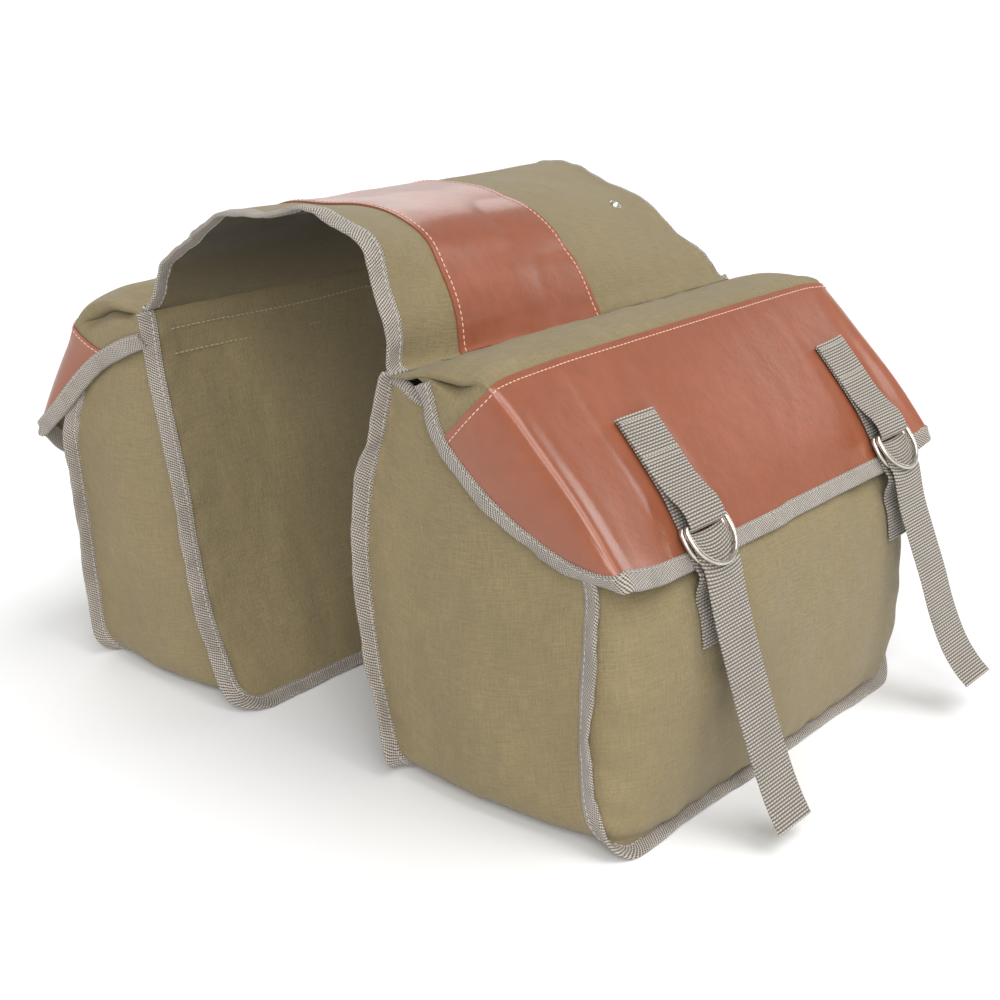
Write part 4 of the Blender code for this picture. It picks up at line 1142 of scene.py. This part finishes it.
def seam_tapes(name, side, body, seed):
    """Bound seams that stand out where the gusset meets the back and front panels."""
    sign = side["sign"]
    seams = (("back", side["back"] + [side["hinge"]], -sign, side["hinge"][1], 50),
             ("front", side["edge"], sign, side["edge"][-1][1] - 15, 60))
    for seam, profile, out_x, top, offset in seams:
        line, outward = corner_path(top, 420)
        u = at_height(profile, line[:, 1])
        path = np.stack([sign * u, line[:, 0], line[:, 1]], -1)
        out = np.stack([0 * u, outward[:, 0], outward[:, 1]], -1)
        across = np.repeat([[float(out_x), 0, 0]], len(path), axis=0)
        underside = smoothstep(0.2, 1.0, -outward[:, 1])
        along = np.stack([lengths_along(path), np.zeros(len(path))], -1)
        lean = side["lean"][seam] + 15 * noise(along, 55.0, seed + offset + 5)
        lean = np.minimum(lean + 8 * noise(along, 21.0, seed + offset + 6), LEAN_MOST)
        covered = smoothstep(150, 176, line[:, 1]) if seam == "front" else 0
        lean = lean * (1 - covered) + LEAN_COVERED * covered
        lean = np.radians(lean * (1 - underside) + LEAN_BELOW * underside)[:, None]
        fin = out * np.cos(lean) + across * np.sin(lean)
        tangent = unit(np.gradient(path, axis=0))
        fin = unit(fin - (fin * tangent).sum(-1, keepdims=True) * tangent)
        up = unit(np.cross(tangent, fin))
        wavy_tape(f"seam_tape_{seam}_{name}", path, fin, up, body, seed + offset,
                  (f"{seam}_seam_binding_{name}",), width_in=1.5, width_out=9.9, wave=1.5, droop=1.3,
                  stitch_at=1.6)


def mouth_tape(name, side, body, seed, front, gusset):
    """Tape over the gusset's top edges and the front panel's top edge, in one U-shaped run."""
    sign = side["sign"]
    front_end, rear_end = sorted((gusset[0], gusset[-1]), key=lambda edge: edge[0, 1])
    upper = front[-1]
    middle = upper[np.abs(upper[:, 1]) < HALF_LENGTH - 10]
    run = np.concatenate([front_end[1:-2:5], middle[::3] - (0.6 * sign, 0, 0), rear_end[1:-2:5][::-1]])
    path = resampled(spline(run + (0, 0, 0.4), np.linspace(0, 1, 900)), 300)[0]
    side_up = np.repeat([[0, 0, 1.0]], len(path), axis=0)
    tangent = unit(np.gradient(path, axis=0))
    up = unit(np.cross(tangent, side_up))
    wavy_tape("mouth_tape_" + name, path, side_up, up, body, seed + 70, ("mouth_binding_" + name,),
              width_in=6.5, width_out=1.6, wave=0.8, droop=0.4, thickness=2.5)


def build_flap(name, side, seed):
    """One flap: its canvas, the leather over it and the binding round it."""
    body = "flap_" + name
    sign = side["sign"]
    grid = flap_surface(side, seed)
    outward = (sign, 0, 1)
    normals = outward_normals(grid, outward)
    canvas = sheet("flap_sheet_" + name, grid, CANVAS, MATERIALS["canvas"], body, outward, offset=0.6,
                   normals=normals, slot="canvas", replaces=("flap_panel_" + name,))
    first = int(round(FOLD * (len(grid) - 1)))
    upper = grid[first:-2]
    upper_normals = normals[first:-2]
    leather = sheet("flap_leather_face_" + name, upper, LEATHER, MATERIALS["leather"], body, outward,
                    offset=0.7 + LEATHER, normals=upper_normals, slot="leather",
                    replaces=("flap_leather_" + name,))
    line = upper[2] + (0.75 + LEATHER) * upper_normals[2]
    stitches("stitches_flap_leather_" + name, line, upper_normals[2], MATERIALS["pink_thread"], body,
             slot="leather")
    hem = flap_tape(name, side, grid, normals, body, seed)


def flap_tape(name, side, grid, normals, body, seed):
    """Binding round a flap's free edges: down one end, along the hem and up the other end."""
    rows, columns = grid.shape[:2]
    start = int(side["tape_start"] * rows)
    rim = [(i, 0) for i in range(start, rows)] + [(rows - 1, j) for j in range(1, columns)]
    rim += [(i, columns - 1) for i in range(rows - 2, start - 1, -1)]
    i, j = np.array(rim).T
    path, up = resampled(grid[i, j], 520, normals[i, j])
    for line, passes in ((up, 30), (path, 14)):
        for _ in range(passes):
            line[1:-1] = 0.25 * line[:-2] + 0.5 * line[1:-1] + 0.25 * line[2:]
    up = unit(up)
    tangent = unit(np.gradient(path, axis=0))
    away = unit(np.cross(tangent, up))
    centre = grid[rows // 2, columns // 2]
    middle = len(path) // 2
    if away[middle] @ (path[middle] - centre) < 0:
        away = -away
    calm = np.ones(len(path))
    for place in STRAP_Y.values():
        calm = calm * smoothstep(18, 34, np.abs(path[:, 1] - place))
    return wavy_tape("flap_hem_tape_" + name, path + 0.55 * up, away, up, body, seed + 90,
                     ("flap_binding_" + name,), width_in=6.4, width_out=4.8, wave=0.9, droop=0.6,
                     thickness=4.4, stitch_at=-4.9, calm=calm)


def tunnel_stitches():
    """Rows of stitching where each back panel is joined to the saddle sheet, seen from the tunnel."""
    for name, side in SIDES.items():
        sign = side["sign"]
        for row, drop in enumerate((14.0, 30.0)):
            z = side["hinge"][1] - drop
            y = np.linspace(-HALF_LENGTH + 12, HALF_LENGTH - 12, 60)
            u = at_height(side["back"] + [side["hinge"]], z) + 0 * y
            path = np.stack([sign * u, y, z + 0.8 * np.sin(y / 31)], -1)
            up = np.repeat([[-float(sign), 0, 0]], len(y), axis=0)
            stitches(f"stitches_tunnel_{name}_{row}", path, up, MATERIALS["thread"], "pouch_" + name,
                     pitch=4.2, length=3.0, radius=0.45, slot="canvas")


def ring_outline():
    """A D-ring's wire, seen flat: (across, along) from the middle of its straight bar, evenly spaced."""
    legs = RING_DEPTH - RING_HALF_WIDTH
    reach = RING_HALF_WIDTH - RING_CORNER
    right = [(reach + RING_CORNER * sin(a), RING_CORNER * (1 - cos(a))) for a in np.linspace(0, pi / 2, 9)]
    bow = [(RING_HALF_WIDTH * cos(a), legs + RING_HALF_WIDTH * sin(a)) for a in np.linspace(0, pi, 49)]
    left = [(-across, along) for across, along in right[::-1]]
    bar = [(0.0, 0.0)]
    return resampled(np.array(bar + right + bow + left + bar), 140)[0]


def build_ring(node, side, y, bar_out, bow_out, body):
    """A D-ring of round wire, its bar held by the flap strap and its bow hanging over the hem."""
    line = outermost_line(side, y)
    bar = on_leather(line, side["sign"], y, BAR_ALONG, bar_out)
    bow = on_leather(line, side["sign"], y, BAR_ALONG + RING_DEPTH, bow_out)
    down = unit(bow - bar)
    aside = np.array([0.0, 1.0, 0.0])
    flat = ring_outline()
    path = bar + flat[:, :1] * aside + flat[:, 1:] * down
    tangent = unit(np.roll(path, -1, 0) - np.roll(path, 1, 0))
    tangent[0] = tangent[-1] = aside
    face = np.repeat([np.cross(aside, down)], len(path), axis=0)
    circle = RING_WIRE * np.array([(cos(a), sin(a)) for a in np.linspace(0, 2 * pi, 20, endpoint=False)])
    sweep("ring_of_" + node, path, np.cross(tangent, face), face, circle, MATERIALS["nickel"], body,
          slot="nickel", replaces=(node,))


def build_eyelet(name, surface, normals):
    """A rolled nickel eyelet pressed into the saddle sheet."""
    knots = len(SADDLE_FRONT) - 1
    t = (1 + (knots - 2) * EYELET_SHARES[name]) / knots      # the seam allowances are one span at each end
    row = int(round(t * (len(surface) - 1)))
    column = int(np.argmin(np.abs(surface[0, :, 1] - EYELET_Y)))
    centre = surface[row, column]
    up = normals[row - 3:row + 4, column - 2:column + 3].mean((0, 1))
    up = up / np.linalg.norm(up)
    across = unit(np.cross(np.array([0.0, 1.0, 0.0]), up))
    along = np.cross(up, across)
    turns = np.linspace(0, 2 * pi, EYELET_SIDES + 1)[:-1]
    radial = np.cos(turns)[:, None] * across + np.sin(turns)[:, None] * along
    verts = [centre + r * direction + h * up for direction in radial for r, h in EYELET_PROFILE]
    size = len(EYELET_PROFILE)
    faces = []
    for k in range(EYELET_SIDES):
        for s in range(size):
            after = (s + 1) % size
            turned = (k + 1) % EYELET_SIDES
            faces.append((k * size + s, k * size + after, turned * size + after, turned * size + s))
    finished("ring_of_eyelet_" + name, np.array(verts), faces, MATERIALS["nickel"], "saddle", slot="nickel",
             replaces=("eyelet_" + name,))


def build_hardware(surface, normals):
    """The eyelets and the pair of D-rings of each closure."""
    for name, side in SIDES.items():
        build_eyelet(name, surface, normals)
        for end, y in STRAP_Y.items():
            label = f"{end}_{name}"
            build_ring("d_ring_inner_" + label, side, y, INNER_BAR_OUT, INNER_BOW_OUT, "ring_inner_" + label)
            build_ring("d_ring_outer_" + label, side, y, OUTER_BAR_OUT, OUTER_BOW_OUT, "ring_outer_" + label)


# ---------------------------------------------------------------- floor, lights and camera

FLOOR_REACH = 90.0      # metres
SKY_LIGHT = 0.30        # the sky looks white but lights the bag only this much

# Soft lights far away: direction to the light, its angular width in degrees, and its strength
LAMPS = (
    ("overhead", (0.46, 0.10, 0.88), 44, 0.58),
    ("front", (0.56, -0.68, 0.47), 45, 0.88),
    ("behind", (-0.72, 0.52, 0.46), 50, 0.24),
    ("beyond", (0.12, 0.96, 0.22), 20, 0.09),
)


def build_stage():
    """A pale floor, a white sky and soft lamps."""
    mesh = bpy.data.meshes.new("floor")
    corners = [(FLOOR_REACH * x, FLOOR_REACH * y, 0) for x, y in ((-1, -1), (1, -1), (1, 1), (-1, 1))]
    mesh.from_pydata(corners, [], [(0, 1, 2, 3)])
    mesh.materials.append(floor_material("pale_floor"))
    floor = bpy.data.objects.new("floor", mesh)
    bpy.context.scene.collection.objects.link(floor)
    scene_world = bpy.data.worlds.new("studio")
    bpy.context.scene.world = scene_world
    scene_world.use_nodes = True
    tree = scene_world.node_tree
    background = tree.nodes["Background"]
    background.inputs[0].default_value = (1.0, 1.0, 1.0, 1.0)
    seen = tree.nodes.new("ShaderNodeLightPath").outputs["Is Camera Ray"]
    strength = tree.nodes.new("ShaderNodeMapRange")
    strength.inputs["To Min"].default_value = SKY_LIGHT
    strength.inputs["To Max"].default_value = 1.0
    tree.links.new(seen, strength.inputs["Value"])
    tree.links.new(strength.outputs["Result"], background.inputs["Strength"])
    for label, towards, spread, power in LAMPS:
        data = bpy.data.lights.new(label, "SUN")
        data.angle = radians(spread)
        data.energy = power * pi
        lamp = bpy.data.objects.new(label, data)
        lamp.rotation_euler = Vector(towards).to_track_quat("Z", "Y").to_euler()
        bpy.context.scene.collection.objects.link(lamp)


# Found from the bag's straight seams: place in metres, tilt below level and turn from behind, in degrees
CAMERA_PLACE = (0.6698, -0.8190, 0.4795)
CAMERA_DOWN = 18.79
CAMERA_TURN = 39.42
SENSOR_WIDTH = 36.0
LENS = 59.148


def build_camera():
    data = bpy.data.cameras.new("camera")
    data.sensor_width = SENSOR_WIDTH
    data.lens = LENS
    camera = bpy.data.objects.new("camera", data)
    camera.location = CAMERA_PLACE
    camera.rotation_euler = (radians(90 - CAMERA_DOWN), 0.0, radians(CAMERA_TURN))
    bpy.context.scene.collection.objects.link(camera)
    bpy.context.scene.camera = camera
    bpy.context.scene.view_settings.view_transform = "Standard"


build_camera()
saddle_grid, saddle_normals = build_saddle()
for number, (side_name, one_side) in enumerate(SIDES.items()):
    build_pouch(side_name, one_side, 100 + 200 * number)
    build_flap(side_name, one_side, 500 + 200 * number)
    for end_name, strap_y in STRAP_Y.items():
        tails = {"front": TAIL_FRONT, "rear": TAIL_REAR} if one_side["sign"] > 0 else {}
        strap_label = f"{end_name}_{side_name}"
        flap_strap("flap_strap_" + strap_label, one_side, strap_y, "flap_" + side_name)
        closure_strap("closure_strap_" + strap_label, one_side, strap_y, tails.get(end_name, TAIL_HANGING),
                      "pouch_" + side_name)
tunnel_stitches()
build_hardware(saddle_grid, saddle_normals)
build_stage()
